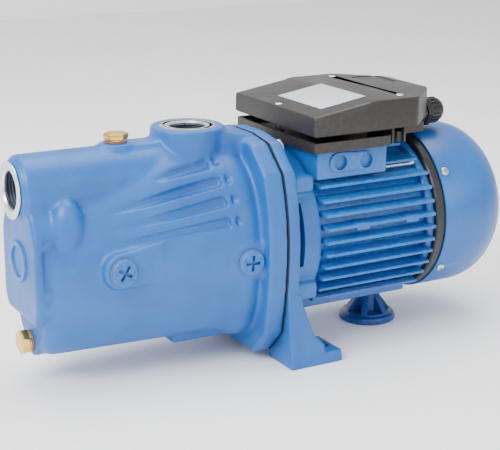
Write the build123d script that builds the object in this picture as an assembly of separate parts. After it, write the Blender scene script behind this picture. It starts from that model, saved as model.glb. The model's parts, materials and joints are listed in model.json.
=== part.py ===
"""Self-priming shallow well jet pump: a cast iron pump end on a close-coupled finned motor.

Millimetres. X runs along the shaft towards the motor, Z is up. The model is laid out from the
joint face of the pump body (X = 0) and the floor (Z = 0), and every piece is moved on export so
that the origin is midway between the two foot slots, on the floor.
"""
from math import atan2, cos, degrees, pi, radians, sin, sqrt
import os

from build123d import *

# ---- layout along and above the floor ----
shaft_z = 102.0
slot_x = 42.0
plate_front_x = -200.5
suction_face_x = -205.5
body_front_x = -192.5
bell_rear_x = 35.0
frame_rear_x = 150.0
shield_depth = 9.0
cover_rear_x = 239.0

# ---- fits ----
fit = 0.05
running = 0.3
gap = 0.5

# ---- ports and plugs ----
port_r = 15.15
suction_lip_r = 23.5
port_depth = 18.0
port_inner_r = 14.2
port_counterbore_r = 18.2
port_counterbore = 2.0
suction_z = 160.3
tube_r = 27.0
tube_wall = 6.0
discharge_x = -53.2
discharge_boss_r = 30.5
discharge_top_z = 196.8
priming_x = -116.3
priming_top_z = 189.0
priming_thread_r = 8.3
priming_boss_r = 14.0
drain_z = 36.0
drain_thread_r = 6.5
drain_boss_r = 12.5
plug_head = 6.0
plug_shank = 9.0
plug_af = 18.0
washer_t = 1.5

# ---- pump body ----
wall = 6.0
body_low_z = 25.5
front_half = 36.0
front_high_z = 149.0
rear_half = 66.0
mid_high_z = 168.0
rear_low_z = 15.0
rear_high_z = 181.0
body_flange = 17.0
flange_top_z = 188.0
flange_low_z = 8.0
flange_half = 74.0
body_bolt_r = 4.0
upper_bolt = (30.0, 176.0)
lower_bolt = (57.0, 42.0)
core_plug_r = 10.8
core_thread_r = 9.0
core_shank = 5.5
core_boss_r = 15.0
front_core = (-136.0, -54.0, 99.0)
rear_core = (-29.5, -64.5, 94.0)

# ---- jet assembly ----
partition_t = 6.0
pressure_wall_x = -176.0
suction_wall_x = -156.0
nozzle_r = 11.0
nozzle_bore_r = 3.5
nozzle_tip_x = -161.0
venturi_end_r = 13.0
throat_r = 7.0
bypass_r = 6.0
bypass_z = 47.0

# ---- impeller and diffuser ----
impeller_r = 49.0
impeller_back_x = -8.0
shroud_t = 3.0
vane_depth = 8.0
vane_count = 6
eye_r = 16.0
neck_r = 20.0
neck_length = 5.0
diffuser_r = 54.0
diffuser_clear = 1.5
diffuser_wall = 2.5
diffuser_neck_r = 26.0
diffuser_outlets = 8

# ---- bracket ----
gasket_t = 1.0
bracket_plate = 11.0
bell_r = 70.0
bell_wall = 8.0
foot_half = 80.5
foot_inner = 40.0
toe_x = 50.4
toe_t = 10.0
step_x = 34.0
step_z = 17.5
slot_r = 4.5
slot_length = 14.0
slot_half_span = 61.0
seat_r = 14.0
seat_depth = 7.0
bearing_wall_x = 23.0
bearing_wall = 4.0
rod_r = 2.5
rod_circle_r = 64.9
rod_angle = 40.0
lug_r = 8.0
window_y = 66.0
window_half = 18.0
bolt_af = 13.0
bolt_head = 5.3

# ---- shaft, seal and bearings ----
impeller_seat_r = 6.0
seal_r = 7.0
bearing_bore_r = 8.5
core_seat_r = 10.0
fan_seat_r = 7.0
bearing_r = 20.0
bearing_width = 12.0
ball_r = 3.4
ball_count = 8
front_bearing_x = 25.0
rear_bearing_x = 143.0
race_t = 3.3
shaft_front_x = -36.0
shaft_rear_x = 200.0

# ---- motor ----
frame_r = 62.0
frame_wall = 5.5
fin_tip_r = 75.0
fin_pitch = 11.0
fin_t = 3.0
core_front_x = 58.0
core_length = 70.0
rotor_r = 33.0
air_gap = 0.4
stator_slots = 24
slot_width = 5.0
slot_depth = 13.0
end_turn = 11.0
pedestal_front_x = 36.0
pedestal_rear_x = 105.0
pedestal_half = 58.0
box_floor_z = 181.0
rail_low_z = 33.5
rail_half = 33.0
side_pads_x = (72.5, 122.5)
side_pad_half = 6.5
foot_x = 130.0
foot_r = 25.3
foot_disc = 7.0
foot_top_z = 27.0

# ---- fan end ----
shield_r = 72.0
cover_r = 73.3
cover_wall = 1.8
cover_bend = 42.0
cover_lap = 12.0
vent_count = 16
vent_half = 2.0
fan_front_x = 172.0
fan_depth = 26.0
fan_r = 62.0
blade_count = 8
screw_clear = 2.1
cover_screw_angle = 54.0

# ---- terminal box ----
lid_front_x = 27.5
lid_half = 67.0
lid_corner_x = 129.0
lid_rear_x = 165.0
lid_rear_half = 31.0
lid_low_z = 190.5
lid_front_z = 206.0
lid_break_x = 85.0
lid_top_z = 215.0
box_wall = 2.5
box_inset = 1.5
base_side_x = 104.0
base_neck_half = 35.0
box_seal_t = 1.0
gland_y = -14.0
gland_z = 190.0
gland_r = 10.0
gland_hole_r = 5.0
gland_boss = 8.0
gland_af = 24.0
label_length = 44.0
label_width = 68.0
label_t = 0.6
label_y = -14.0


# ---- small building helpers ----
def disc(radius, x0, x1, y=0.0, z=shaft_z):
    """Solid round bar along X."""
    bar = Cylinder(radius, x1 - x0, align=(Align.CENTER, Align.CENTER, Align.MIN))
    return Pos(x0, y, z) * Rot(0, 90, 0) * bar


def ring(outer, inner, x0, x1, y=0.0, z=shaft_z):
    """Plain ring along X."""
    return disc(outer, x0, x1, y, z) - disc(inner, x0 - 1, x1 + 1, y, z)


def cone(r0, r1, x0, x1):
    """Solid cone along the shaft, radius r0 at x0 and r1 at x1."""
    body = Cone(r0, r1, x1 - x0, align=(Align.CENTER, Align.CENTER, Align.MIN))
    return Pos(x0, 0, shaft_z) * Rot(0, 90, 0) * body


def upright(radius, z0, z1, x, y=0.0):
    """Solid round bar along Z."""
    bar = Cylinder(radius, z1 - z0, align=(Align.CENTER, Align.CENTER, Align.MIN))
    return Pos(x, y, z0) * bar


def sideways(radius, y0, y1, x, z):
    """Solid round bar along Y, from y0 to y1."""
    bar = Cylinder(radius, y1 - y0, align=(Align.CENTER, Align.CENTER, Align.MIN))
    return Pos(x, y0, z) * Rot(-90, 0, 0) * bar


def block(x0, x1, y0, y1, z0, z1):
    """Solid box between two corners."""
    box = Box(x1 - x0, y1 - y0, z1 - z0, align=(Align.MIN, Align.MIN, Align.MIN))
    return Pos(x0, y0, z0) * box


def hexagon_x(across_flats, x0, x1, y=0.0, z=shaft_z):
    """Hexagonal bar along X."""
    profile = RegularPolygon(across_flats / sqrt(3), 6)
    return Pos(x0, y, z) * Rot(0, 90, 0) * extrude(profile, x1 - x0)


def hexagon_z(across_flats, z0, z1, x, y=0.0):
    """Hexagonal bar along Z."""
    profile = RegularPolygon(across_flats / sqrt(3), 6)
    return Pos(x, y, z0) * extrude(profile, z1 - z0)


def plate_yz(face, x0, x1):
    """Flat plate from a face drawn as (Y, Z), standing across the shaft."""
    plane = Plane(origin=(x0, 0, 0), x_dir=(0, 1, 0), z_dir=(1, 0, 0))
    return extrude(plane * face, x1 - x0)


def plate_xz(face, y0, y1):
    """Flat plate from a face drawn as (X, Z), standing along the shaft."""
    plane = Plane(origin=(0, y1, 0), x_dir=(1, 0, 0), z_dir=(0, -1, 0))
    return extrude(plane * face, y1 - y0)


def polygon(*points):
    """Flat face with straight edges through the points, in their own order."""
    return make_face(Polyline(*points, close=True))


def around(piece, count, start=0.0):
    """Copies of a piece, evenly spaced about the shaft."""
    turns = [start + 360.0 * i / count for i in range(count)]
    to_axis = Pos(0, 0, shaft_z)
    from_axis = Pos(0, 0, -shaft_z)
    return [to_axis * Rot(turn, 0, 0) * from_axis * piece for turn in turns]


def both_sides(y, z):
    """The same point on the two sides of the shaft plane."""
    return [(-y, z), (y, z)]


# ---- shared positions ----
body_bolts_yz = both_sides(*upper_bolt) + both_sides(*lower_bolt)
rod_y = rod_circle_r * sin(radians(rod_angle))
rod_rise = rod_circle_r * cos(radians(rod_angle))
rods_yz = both_sides(rod_y, shaft_z + rod_rise) + both_sides(rod_y, shaft_z - rod_rise)
bracket_rear_x = gasket_t + bracket_plate
shield_rear_x = frame_rear_x + shield_depth
impeller_front_x = impeller_back_x - 2 * shroud_t - vane_depth
neck_front_x = impeller_front_x - neck_length
diffuser_front_x = impeller_front_x - gap - 2 * diffuser_wall
diffuser_neck_x = neck_front_x - 16.0
venturi_front_x = suction_wall_x
frame_bore_r = frame_r - frame_wall
core_rear_x = core_front_x + core_length
lid_screw_seats = [
    (lid_front_x + 6.0, 0.0, lid_front_z - 1.0),
    (lid_corner_x - 9.0, -52.0, lid_top_z - 1.5),
    (lid_corner_x - 9.0, 52.0, lid_top_z - 1.5),
]


# ---- pump body ----
def flange_face(grow=0.0):
    """Outline shared by the body flange, the gasket and the bracket: flat top, barrel sides."""
    top = flange_top_z + grow
    low = flange_low_z - grow
    half = flange_half + grow
    right = [(0, top), (14, top), (40, top - 4), (63 + grow, top - 25)]
    side = ThreePointArc((63 + grow, top - 25), (half, shaft_z), (66 + grow, low + 21))
    foot = Polyline((66 + grow, low + 21), (46, low), (-46, low), (-66 - grow, low + 21))
    left = ThreePointArc((-66 - grow, low + 21), (-half, shaft_z), (-63 - grow, top - 25))
    crown = Polyline((-63 - grow, top - 25), (-40, top - 4), (-14, top), (0, top))
    return make_face(Polyline(*right) + side + foot + left + crown)


def casing_section(x, half, low, high, shoulder):
    """Egg-shaped cross-section of the casing at x, as a smooth closed curve."""
    height = high - low
    half_points = [
        (0.55 * half, low),
        (0.93 * half, low + 0.16 * height),
        (half, low + 0.48 * height),
        (0.84 * half, low + 0.8 * height),
        (shoulder, high),
    ]
    right = half_points
    left = [(-y, z) for y, z in reversed(half_points)]
    curve = Spline(*(right + left), periodic=True)
    return Plane(origin=(x, 0, 0), x_dir=(0, 1, 0), z_dir=(1, 0, 0)) * make_face(curve)


def casing(shrink, front_x, rear_x):
    """Casing shell boundary, moved inwards by shrink."""
    low = body_low_z + shrink
    front = casing_section(front_x, front_half - shrink, low, front_high_z - shrink, 18.0)
    mid_half = 0.5 * (front_half + rear_half) + 2.0
    mid_x = 0.5 * (body_front_x - body_flange)
    middle = casing_section(mid_x, mid_half - shrink, low, mid_high_z - shrink, 22.0)
    rear = casing_section(rear_x, rear_half - shrink, rear_low_z + shrink, rear_high_z - shrink, 26.0)
    return loft([front, middle, rear])


def jet_walls():
    """Two partitions inside the casing, with the by-pass duct that joins the pressure spaces."""
    walls = block(pressure_wall_x, pressure_wall_x + partition_t, -80, 80, 0, 200)
    walls += block(suction_wall_x, suction_wall_x + partition_t, -80, 80, 0, 200)
    walls += disc(bypass_r + 3, pressure_wall_x, suction_wall_x + partition_t, 0, bypass_z)
    return walls & casing(wall - 1, body_front_x + wall, -body_flange)


def front_plate():
    """Raised flat panel on the front of the casing."""
    outline = polygon(
        (-30, 57), (-37, 68), (-37, 124), (-27, 146), (27, 146), (37, 124), (37, 68), (30, 57),
    )
    return plate_yz(outline, plate_front_x, body_front_x + 4)


def pump_body():
    """Cast iron body with suction tube, discharge boss, jet partitions and joint flange."""
    body = casing(0, body_front_x, -body_flange + 3)
    body += plate_yz(flange_face(), -body_flange, 0)
    body += disc(tube_r, plate_front_x, -body_flange, 0, suction_z)
    body += disc(suction_lip_r, suction_face_x, plate_front_x + 1, 0, suction_z)
    body += front_plate()
    body += upright(discharge_boss_r, suction_z, discharge_top_z, discharge_x)
    body += upright(priming_boss_r, suction_z, priming_top_z, priming_x)
    body += disc(drain_boss_r, body_front_x - 1, body_front_x + wall, 0, drain_z)
    body += block(-83, -35, -30, 30, body_low_z - 4, body_low_z + 12)
    for x, y, z in (front_core, rear_core):
        body += sideways(core_boss_r, y, y + 24, x, z)
    body -= casing(wall, body_front_x + wall, -body_flange + 3)
    body -= disc(diffuser_r + diffuser_clear, diffuser_front_x - 1, 1)
    body -= disc(tube_r - tube_wall, suction_wall_x + partition_t + 2, -body_flange, 0, suction_z)
    body += jet_walls()
    thread_start_x = suction_face_x + port_counterbore
    body -= disc(port_inner_r, suction_face_x - 1, suction_wall_x - 1, 0, suction_z)
    body -= disc(port_r, suction_face_x - 1, thread_start_x + port_depth, 0, suction_z)
    body -= disc(port_counterbore_r, suction_face_x - 1, thread_start_x, 0, suction_z)
    body -= block(pressure_wall_x + partition_t + 1, suction_wall_x - 1, -10, 10, shaft_z, suction_z)
    thread_start_z = discharge_top_z - port_counterbore
    body -= upright(port_inner_r, suction_z, discharge_top_z + 1, discharge_x)
    body -= upright(port_r, thread_start_z - port_depth, discharge_top_z + 1, discharge_x)
    body -= upright(port_counterbore_r, thread_start_z, discharge_top_z + 1, discharge_x)
    body -= upright(priming_thread_r + fit, suction_z, priming_top_z + 1, priming_x)
    body -= disc(drain_thread_r + fit, body_front_x - 3, body_front_x + wall + 4, 0, drain_z)
    body -= disc(nozzle_r + fit, pressure_wall_x - 1, pressure_wall_x + partition_t + 1)
    body -= disc(venturi_end_r + fit, suction_wall_x - 1, suction_wall_x + partition_t + 1)
    body -= disc(bypass_r, pressure_wall_x - 1, suction_wall_x + partition_t + 1, 0, bypass_z)
    for x, y, z in (front_core, rear_core):
        body -= sideways(core_thread_r + fit, y - 1, y + 25, x, z)
        body -= sideways(core_plug_r + gap, y - 12, y, x, z)
    for y, z in body_bolts_yz:
        body -= disc(body_bolt_r + fit, -14, 1, y, z)
    return body


def body_gasket():
    """Flat paper gasket between the body flange and the bracket."""
    sheet = plate_yz(flange_face(-1.0), 0, gasket_t)
    sheet -= disc(diffuser_r + diffuser_clear, -1, gasket_t + 1)
    for y, z in body_bolts_yz:
        sheet -= disc(body_bolt_r + gap, -1, gasket_t + 1, y, z)
    return sheet


def body_bolts():
    """Four hexagon bolts from the bracket side into the body flange."""
    bolts = []
    for y, z in body_bolts_yz:
        shank = disc(body_bolt_r, -12, bracket_rear_x, y, z)
        bolts.append(shank + hexagon_x(bolt_af, bracket_rear_x, bracket_rear_x + bolt_head, y, z))
    return bolts


# ---- plugs ----
def priming_washer():
    """Fibre washer under the priming plug."""
    outer = upright(0.5 * plug_af, priming_top_z, priming_top_z + washer_t, priming_x)
    return outer - upright(priming_thread_r + fit, 0, 300, priming_x)


def priming_plug():
    """Brass hexagon plug in the top of the body."""
    seat = priming_top_z + washer_t
    head = hexagon_z(plug_af, seat, seat + plug_head, priming_x)
    head &= upright(0.56 * plug_af, seat, seat + plug_head, priming_x)
    return head + upright(priming_thread_r, seat - plug_shank - washer_t, seat, priming_x)


def drain_washer():
    """Fibre washer under the drain plug."""
    face = body_front_x - 1
    return ring(0.5 * plug_af, drain_thread_r + fit, face - washer_t, face, 0, drain_z)


def drain_plug():
    """Brass hexagon plug low in the front of the body."""
    seat = body_front_x - 1 - washer_t
    head = hexagon_x(plug_af, seat - plug_head - 2, seat, 0, drain_z)
    head &= disc(0.56 * plug_af, seat - plug_head - 2, seat, 0, drain_z)
    return head + disc(drain_thread_r, seat, seat + plug_shank, 0, drain_z)


def core_plug(place):
    """Screwed plug with a cross slot that closes a casting core hole."""
    x, y, z = place
    head = sideways(core_plug_r, y - 4, y - 1, x, z)
    head += sideways(core_thread_r, y - 1, y + core_shank, x, z)
    head -= block(x - 6, x + 6, y - 5, y - 2, z - 1, z + 1)
    head -= block(x - 1, x + 1, y - 5, y - 2, z - 6, z + 6)
    return head


def core_washers():
    """Sealing washers under the two core plugs."""
    rings = []
    for x, y, z in (front_core, rear_core):
        hole = sideways(core_thread_r + fit, y - 2, y + 1, x, z)
        rings.append(sideways(core_plug_r, y - 1, y, x, z) - hole)
    return rings


# ---- jet assembly ----
def ejector_nozzle():
    """Brass nozzle in the pressure partition, pointing at the venturi."""
    tip_end = nozzle_tip_x
    body = disc(nozzle_r, pressure_wall_x, pressure_wall_x + partition_t)
    body += disc(nozzle_r + 2, pressure_wall_x - 3, pressure_wall_x)
    body += cone(nozzle_r, nozzle_bore_r + 1.8, pressure_wall_x + partition_t, tip_end)
    bore = disc(nozzle_bore_r, pressure_wall_x, tip_end + 1)
    bore += cone(nozzle_r - 2, nozzle_bore_r, pressure_wall_x - 4, tip_end - 2)
    return body - bore


def venturi_tube():
    """Moulded venturi: short inlet, narrow throat, long cone to the impeller eye."""
    collar_x = suction_wall_x + partition_t
    body = disc(venturi_end_r, venturi_front_x, collar_x)
    body += disc(venturi_end_r + 2.5, collar_x, collar_x + 4)
    body += cone(venturi_end_r - 1, neck_r - fit, collar_x + 4, diffuser_neck_x)
    body += disc(neck_r - fit, diffuser_neck_x, neck_front_x - gap)
    inlet = cone(venturi_end_r - 2, throat_r, venturi_front_x - 1, collar_x + 4)
    throat = disc(throat_r, collar_x + 3, collar_x + 12)
    outlet = cone(throat_r, eye_r, collar_x + 11, neck_front_x)
    return body - inlet - throat - outlet


def impeller_vane():
    """One backward-curved vane between the shrouds."""
    inner = eye_r + 1.0
    outer = impeller_r - 0.5
    mid = 0.5 * (inner + outer)
    bend = (mid * cos(0.35), mid * sin(0.35))
    tip = (outer * cos(0.95), outer * sin(0.95))
    line = ThreePointArc((inner, 0), bend, tip)
    strip = make_face(offset(line, 1.2))
    plane = Plane(origin=(impeller_front_x + 1, 0, shaft_z), x_dir=(0, 1, 0), z_dir=(1, 0, 0))
    return extrude(plane * strip, vane_depth + 2 * shroud_t - 2)


def impeller():
    """Closed impeller with a wear neck, on the front end of the shaft."""
    wheel = disc(impeller_r, impeller_back_x - shroud_t, impeller_back_x)
    wheel += ring(impeller_r, eye_r, impeller_front_x, impeller_front_x + shroud_t)
    wheel += ring(neck_r - running, eye_r, neck_front_x, impeller_front_x + 1)
    for vane in around(impeller_vane(), vane_count):
        wheel += vane
    wheel += disc(11, impeller_front_x, impeller_back_x)
    wheel -= disc(impeller_seat_r + fit, neck_front_x - 1, impeller_back_x + 1)
    key = block(impeller_front_x - 1, impeller_back_x + 1, -2 - fit, 2 + fit, shaft_z, shaft_z + 8.3)
    return wheel - key


def impeller_key():
    """Parallel key between shaft and impeller."""
    return block(impeller_front_x + 2, impeller_back_x - 1, -2, 2, shaft_z + 4, shaft_z + 8)


def impeller_nut():
    """Brass nut that holds the impeller."""
    nut = hexagon_x(16.0, impeller_front_x - 8, impeller_front_x)
    return nut - disc(impeller_seat_r - 1 + fit, -100, 0)


def diffuser():
    """Fixed diffuser cup around the impeller, open at the rim through guide passages."""
    rim_r = impeller_r + 1.5
    cup = disc(diffuser_r, diffuser_front_x, gasket_t)
    cup -= disc(rim_r, diffuser_front_x + diffuser_wall, gasket_t + 1)
    cup += disc(diffuser_neck_r, diffuser_neck_x, diffuser_front_x + diffuser_wall)
    cup -= disc(neck_r, diffuser_neck_x - 1, diffuser_front_x + 2 * diffuser_wall)
    outlet = block(
        impeller_front_x, impeller_back_x - 2, -7, 7, shaft_z + rim_r - 8, shaft_z + diffuser_r + 5,
    )
    for window in around(outlet, diffuser_outlets, 22.5):
        cup -= window
    return cup


# ---- seal ----
def seal_seat():
    """Fixed ceramic seat of the mechanical seal, in the bracket."""
    return ring(seat_r - fit, seal_r + 1, gasket_t + 0.5, gasket_t + seat_depth)


def seal_head():
    """Turning carbon ring and its rubber sleeve on the shaft."""
    face_x = gasket_t + 0.5
    return ring(12.0, seal_r + fit, face_x - 4.5, face_x - 0.02)


def seal_spring():
    """Coil spring that presses the seal head on the seat."""
    start = impeller_back_x + 0.9
    coil = Helix(pitch=1.7, height=2.6, radius=9.8)
    wire = Plane(origin=coil @ 0, z_dir=coil % 0) * Circle(0.5)
    spring = sweep(wire, path=coil)
    return Pos(start, 0, shaft_z) * Rot(0, 90, 0) * spring


# ---- bracket ----
def leg(side):
    """One cast leg: vertical at the joint face, sloping at the back, with a flat toe."""
    profile = polygon(
        (gasket_t, 0), (toe_x, 0), (toe_x, toe_t), (step_x, toe_t), (step_x, step_z),
        (25, step_z + 8), (bracket_rear_x, 62), (gasket_t, 62),
    )
    front = polygon((foot_inner, 0), (foot_half, 0), (flange_half - 1, 62), (foot_inner + 6, 62))
    web = plate_xz(profile, 0, foot_half) & plate_yz(front, 0, toe_x)
    return web if side > 0 else mirror(web, Plane.XZ)


def foot_slot(side):
    """Slotted hole through a toe, long across the pump."""
    hole = SlotOverall(slot_length, 2 * slot_r, rotation=90)
    return Pos(slot_x, side * slot_half_span, -1) * extrude(hole, toe_t + 30)


def bracket():
    """Cast iron bracket: joint flange, two legs, open bell and front bearing housing."""
    part = plate_yz(flange_face(), gasket_t, bracket_rear_x)
    for side in (-1, 1):
        part += leg(side)
        part -= foot_slot(side)
    part += ring(bell_r, bell_r - bell_wall, bracket_rear_x, bell_rear_x)
    part += disc(bell_r - 2, bearing_wall_x, bearing_wall_x + bearing_wall)
    part += disc(bearing_r + 6, bearing_wall_x, front_bearing_x + bearing_width)
    for y, z in rods_yz:
        part += disc(lug_r, bracket_rear_x - 1, bell_rear_x, y, z)
        part -= disc(rod_r + fit, bracket_rear_x - 4, bell_rear_x + 1, y, z)
    part -= disc(seat_r, gasket_t - 1, gasket_t + seat_depth)
    part -= disc(seal_r + 1.5, 0, 60)
    part -= disc(bearing_r, front_bearing_x, 60)
    for side in (-1, 1):
        middle = side * window_y
        part -= block(
            bracket_rear_x + 2, bearing_wall_x - 2, middle - 14, middle + 14,
            shaft_z - window_half, shaft_z + window_half,
        )
    part -= block(bracket_rear_x + 2, bearing_wall_x - 2, -22, 22, 20, shaft_z - 55)
    for y, z in body_bolts_yz:
        part -= disc(body_bolt_r + gap, 0, bracket_rear_x + 1, y, z)
        part -= disc(0.5 * bolt_af + 2, bracket_rear_x, bracket_rear_x + 30, y, z)
    return part


def tie_rods():
    """Four long studs that clamp the motor frame between bracket and rear shield."""
    rods = []
    for y, z in rods_yz:
        rod = disc(rod_r, bracket_rear_x - 2, shield_rear_x + 5, y, z)
        rod += hexagon_x(8.0, shield_rear_x, shield_rear_x + 4, y, z)
        rods.append(rod)
    return rods


# ---- shaft and bearings ----
def shaft():
    """Stepped shaft from the impeller nut to the fan."""
    nose_x = impeller_front_x
    bar = disc(impeller_seat_r - 1, shaft_front_x, nose_x)
    bar += disc(impeller_seat_r, nose_x, impeller_back_x)
    bar += disc(seal_r, impeller_back_x, front_bearing_x)
    bar += disc(bearing_bore_r, front_bearing_x, front_bearing_x + bearing_width)
    bar += disc(core_seat_r, front_bearing_x + bearing_width, rear_bearing_x)
    bar += disc(bearing_bore_r, rear_bearing_x, rear_bearing_x + bearing_width)
    bar += disc(fan_seat_r, rear_bearing_x + bearing_width, shaft_rear_x)
    keyway = block(impeller_front_x + 2, impeller_back_x - 1, -2, 2, shaft_z + 4, shaft_z + 12)
    return bar - keyway


def slinger():
    """Rubber ring that throws leaked water off the shaft."""
    return ring(13.0, seal_r + fit, 16, 18.5)


def ball_track(x):
    """Space swept by the balls of a bearing whose front face is at x."""
    pitch_r = 0.5 * (bearing_bore_r + bearing_r)
    tube = Torus(pitch_r, ball_r + fit)
    return Pos(x + 0.5 * bearing_width, 0, shaft_z) * Rot(0, 90, 0) * tube


def inner_race(x):
    """Inner race, tight on the shaft."""
    race = ring(bearing_bore_r + race_t, bearing_bore_r, x, x + bearing_width)
    return race - ball_track(x)


def outer_race(x):
    """Outer race, fixed in its housing."""
    race = ring(bearing_r, bearing_r - race_t, x, x + bearing_width)
    return race - ball_track(x)


def balls(x):
    """Set of balls of one bearing."""
    pitch_r = 0.5 * (bearing_bore_r + bearing_r)
    ball = Pos(x + 0.5 * bearing_width, 0, shaft_z + pitch_r) * Sphere(ball_r)
    return around(ball, ball_count)


def wave_washer():
    """Spring washer that loads the rear bearing endways."""
    end = rear_bearing_x + bearing_width
    return ring(bearing_r - gap, bearing_r - 4, end, end + 1.2)


# ---- motor ----
def half_width(radius, height):
    """Half the chord of a circle at a height above its centre."""
    return sqrt(max(radius * radius - height * height, 1.0))


def motor_frame():
    """Finned aluminium frame with the pedestal for the terminal box and the rear foot pad."""
    frame = disc(frame_r, bell_rear_x, frame_rear_x)
    for k in range(-5, 7):
        height = k * fin_pitch
        reach = half_width(fin_tip_r, height)
        low_z = shaft_z + height - 0.5 * fin_t
        frame += block(bell_rear_x + 2, frame_rear_x - 1, -reach, reach, low_z, low_z + fin_t)
    frame += block(bell_rear_x, frame_rear_x - 4, -rail_half, rail_half, rail_low_z, rail_low_z + 9)
    frame += block(foot_x - 13, foot_x + 13, -13, 13, foot_top_z, rail_low_z + 10)
    frame += block(
        pedestal_front_x, pedestal_rear_x, -pedestal_half, pedestal_half,
        shaft_z + 4.5 * fin_pitch, box_floor_z,
    )
    for x in side_pads_x:
        frame += block(
            x - side_pad_half, x + side_pad_half, -fin_tip_r, -frame_r + 4, shaft_z + 6, shaft_z + 14,
        )
    frame -= disc(frame_bore_r, bell_rear_x - 1, frame_rear_x + 1)
    inner = block(
        pedestal_front_x + 5, pedestal_rear_x - 5, -pedestal_half + 5, pedestal_half - 5,
        shaft_z + frame_r + 4, box_floor_z + 1,
    )
    frame -= inner
    frame -= upright(9, shaft_z, box_floor_z, 80)
    for y, z in rods_yz:
        frame -= disc(rod_r + gap, bell_rear_x - 1, frame_rear_x + 1, y, z)
    frame -= upright(2.5 + fit, 0, rail_low_z + 6, foot_x)
    return frame


def stator_slot_cutter(margin):
    """One stator slot, opened by margin on every side but its ends."""
    root = rotor_r + air_gap + 2.0
    half = 0.5 * slot_width - margin
    return block(
        core_front_x - 1, core_rear_x + 1, -half, half,
        shaft_z + root + margin, shaft_z + root + slot_depth - margin,
    )


def stator_core():
    """Stack of stator plates with slots for the windings."""
    stack = ring(frame_bore_r, rotor_r + air_gap, core_front_x, core_rear_x)
    for cutter in around(stator_slot_cutter(0), stator_slots):
        stack -= cutter
    return stack


def stator_windings():
    """Copper coils: bars through the slots, joined by the end turns."""
    root = rotor_r + air_gap + 2.0
    coil = ring(root + slot_depth + 1, root + 1, core_front_x - end_turn, core_front_x - 1)
    coil += ring(root + slot_depth + 1, root + 1, core_rear_x + 1, core_rear_x + end_turn)
    for bar in around(stator_slot_cutter(0.4), stator_slots):
        coil += bar
    return coil


def rotor_core():
    """Stack of rotor plates on the shaft."""
    return ring(rotor_r, core_seat_r, core_front_x, core_rear_x)


def rotor_end_rings():
    """Cast aluminium end rings of the rotor cage."""
    front = ring(rotor_r - 2, core_seat_r + 5, core_front_x - 7, core_front_x)
    rear = ring(rotor_r - 2, core_seat_r + 5, core_rear_x, core_rear_x + 7)
    return [front, rear]


def rear_shield():
    """Rear end shield: rim, web and bearing housing."""
    part = disc(shield_r, frame_rear_x, shield_rear_x)
    part += disc(cover_r - cover_wall - fit, shield_rear_x - 1, shield_rear_x + cover_lap)
    part -= disc(cover_r - cover_wall - 1.6, shield_rear_x, shield_rear_x + cover_lap + 1)
    for boss in cover_screw_bars(4.5, cover_r - 14, cover_r - cover_wall - 0.3):
        part += boss
    part += disc(frame_bore_r - fit, frame_rear_x - 4, frame_rear_x + 1)
    part -= disc(frame_bore_r - 4, frame_rear_x - 5, frame_rear_x + 3)
    part += disc(bearing_r + 5, rear_bearing_x, shield_rear_x)
    part -= disc(bearing_r, rear_bearing_x - 1, rear_bearing_x + bearing_width + 1.2)
    part -= disc(fan_seat_r + 1, 100, 200)
    for y, z in rods_yz:
        part -= disc(rod_r + fit, frame_rear_x - 5, shield_rear_x + 1, y, z)
    for screw in cover_screw_bars(1.7, cover_r - 10, cover_r + 3):
        part -= screw
    return part


# ---- fan end ----
def at_cover_screws(piece):
    """Copies of a piece drawn on top of the shaft, turned to the four fan cover screws."""
    to_axis = Pos(0, 0, shaft_z)
    from_axis = Pos(0, 0, -shaft_z)
    low = 180.0 - cover_screw_angle
    turns = (cover_screw_angle, low, -low, -cover_screw_angle)
    return [to_axis * Rot(turn, 0, 0) * from_axis * piece for turn in turns]


def cover_screw_bars(radius, inner, outer):
    """Radial bars at the four fan cover screws, between two distances from the shaft."""
    x = shield_rear_x + 0.5 * cover_lap
    return at_cover_screws(upright(radius, shaft_z + inner, shaft_z + outer, x))


def fan():
    """Plastic cooling fan with straight radial blades."""
    wheel = disc(40, fan_front_x, fan_front_x + 2)
    wheel += disc(13, fan_front_x, fan_front_x + fan_depth - 4)
    blade = block(fan_front_x, fan_front_x + fan_depth, -1, 1, shaft_z + 11, shaft_z + fan_r)
    for copy in around(blade, blade_count):
        wheel += copy
    return wheel - disc(fan_seat_r + fit, fan_front_x - 1, 300)


def fan_clip():
    """Spring clip that keeps the fan on the shaft."""
    return ring(fan_seat_r + 3, fan_seat_r + fit, fan_front_x + fan_depth - 4, fan_front_x + fan_depth - 2.5)


def cover_profile(grow):
    """Half outline of the fan cover about the shaft, moved outwards by grow."""
    radius = cover_r + grow
    rear = cover_rear_x + grow
    bend = cover_bend + grow
    bend_x = rear - bend
    knee = (bend_x + bend * sin(pi / 4), radius - bend + bend * cos(pi / 4))
    side = Polyline((shield_rear_x - 1, 0), (shield_rear_x - 1, radius), (bend_x, radius))
    corner = ThreePointArc((bend_x, radius), knee, (rear, radius - bend))
    back = Polyline((rear, radius - bend), (rear, 0), (shield_rear_x - 1, 0))
    return make_face(side + corner + back)


def cover_shape(grow):
    """Solid of revolution of the fan cover outline."""
    plane = Plane(origin=(0, 0, shaft_z), x_dir=(1, 0, 0), z_dir=(0, -1, 0))
    return revolve(plane * cover_profile(grow), Axis((0, 0, shaft_z), (1, 0, 0)), 360)


def fan_cover():
    """Sheet fan cover with a rounded back and a ring of air slots."""
    shell = cover_shape(0) - cover_shape(-cover_wall)
    shell &= disc(100, shield_rear_x, cover_rear_x + 1)
    vent_in = 12.0
    vent_out = cover_r - cover_bend + 12.0
    vent = block(
        cover_rear_x - 12, cover_rear_x + 2, -vent_half, vent_half, shaft_z + vent_in, shaft_z + vent_out,
    )
    for slot in around(vent, vent_count):
        shell -= slot
    for screw in cover_screw_bars(screw_clear, cover_r - 10, cover_r + 3):
        shell -= screw
    return shell


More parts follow.
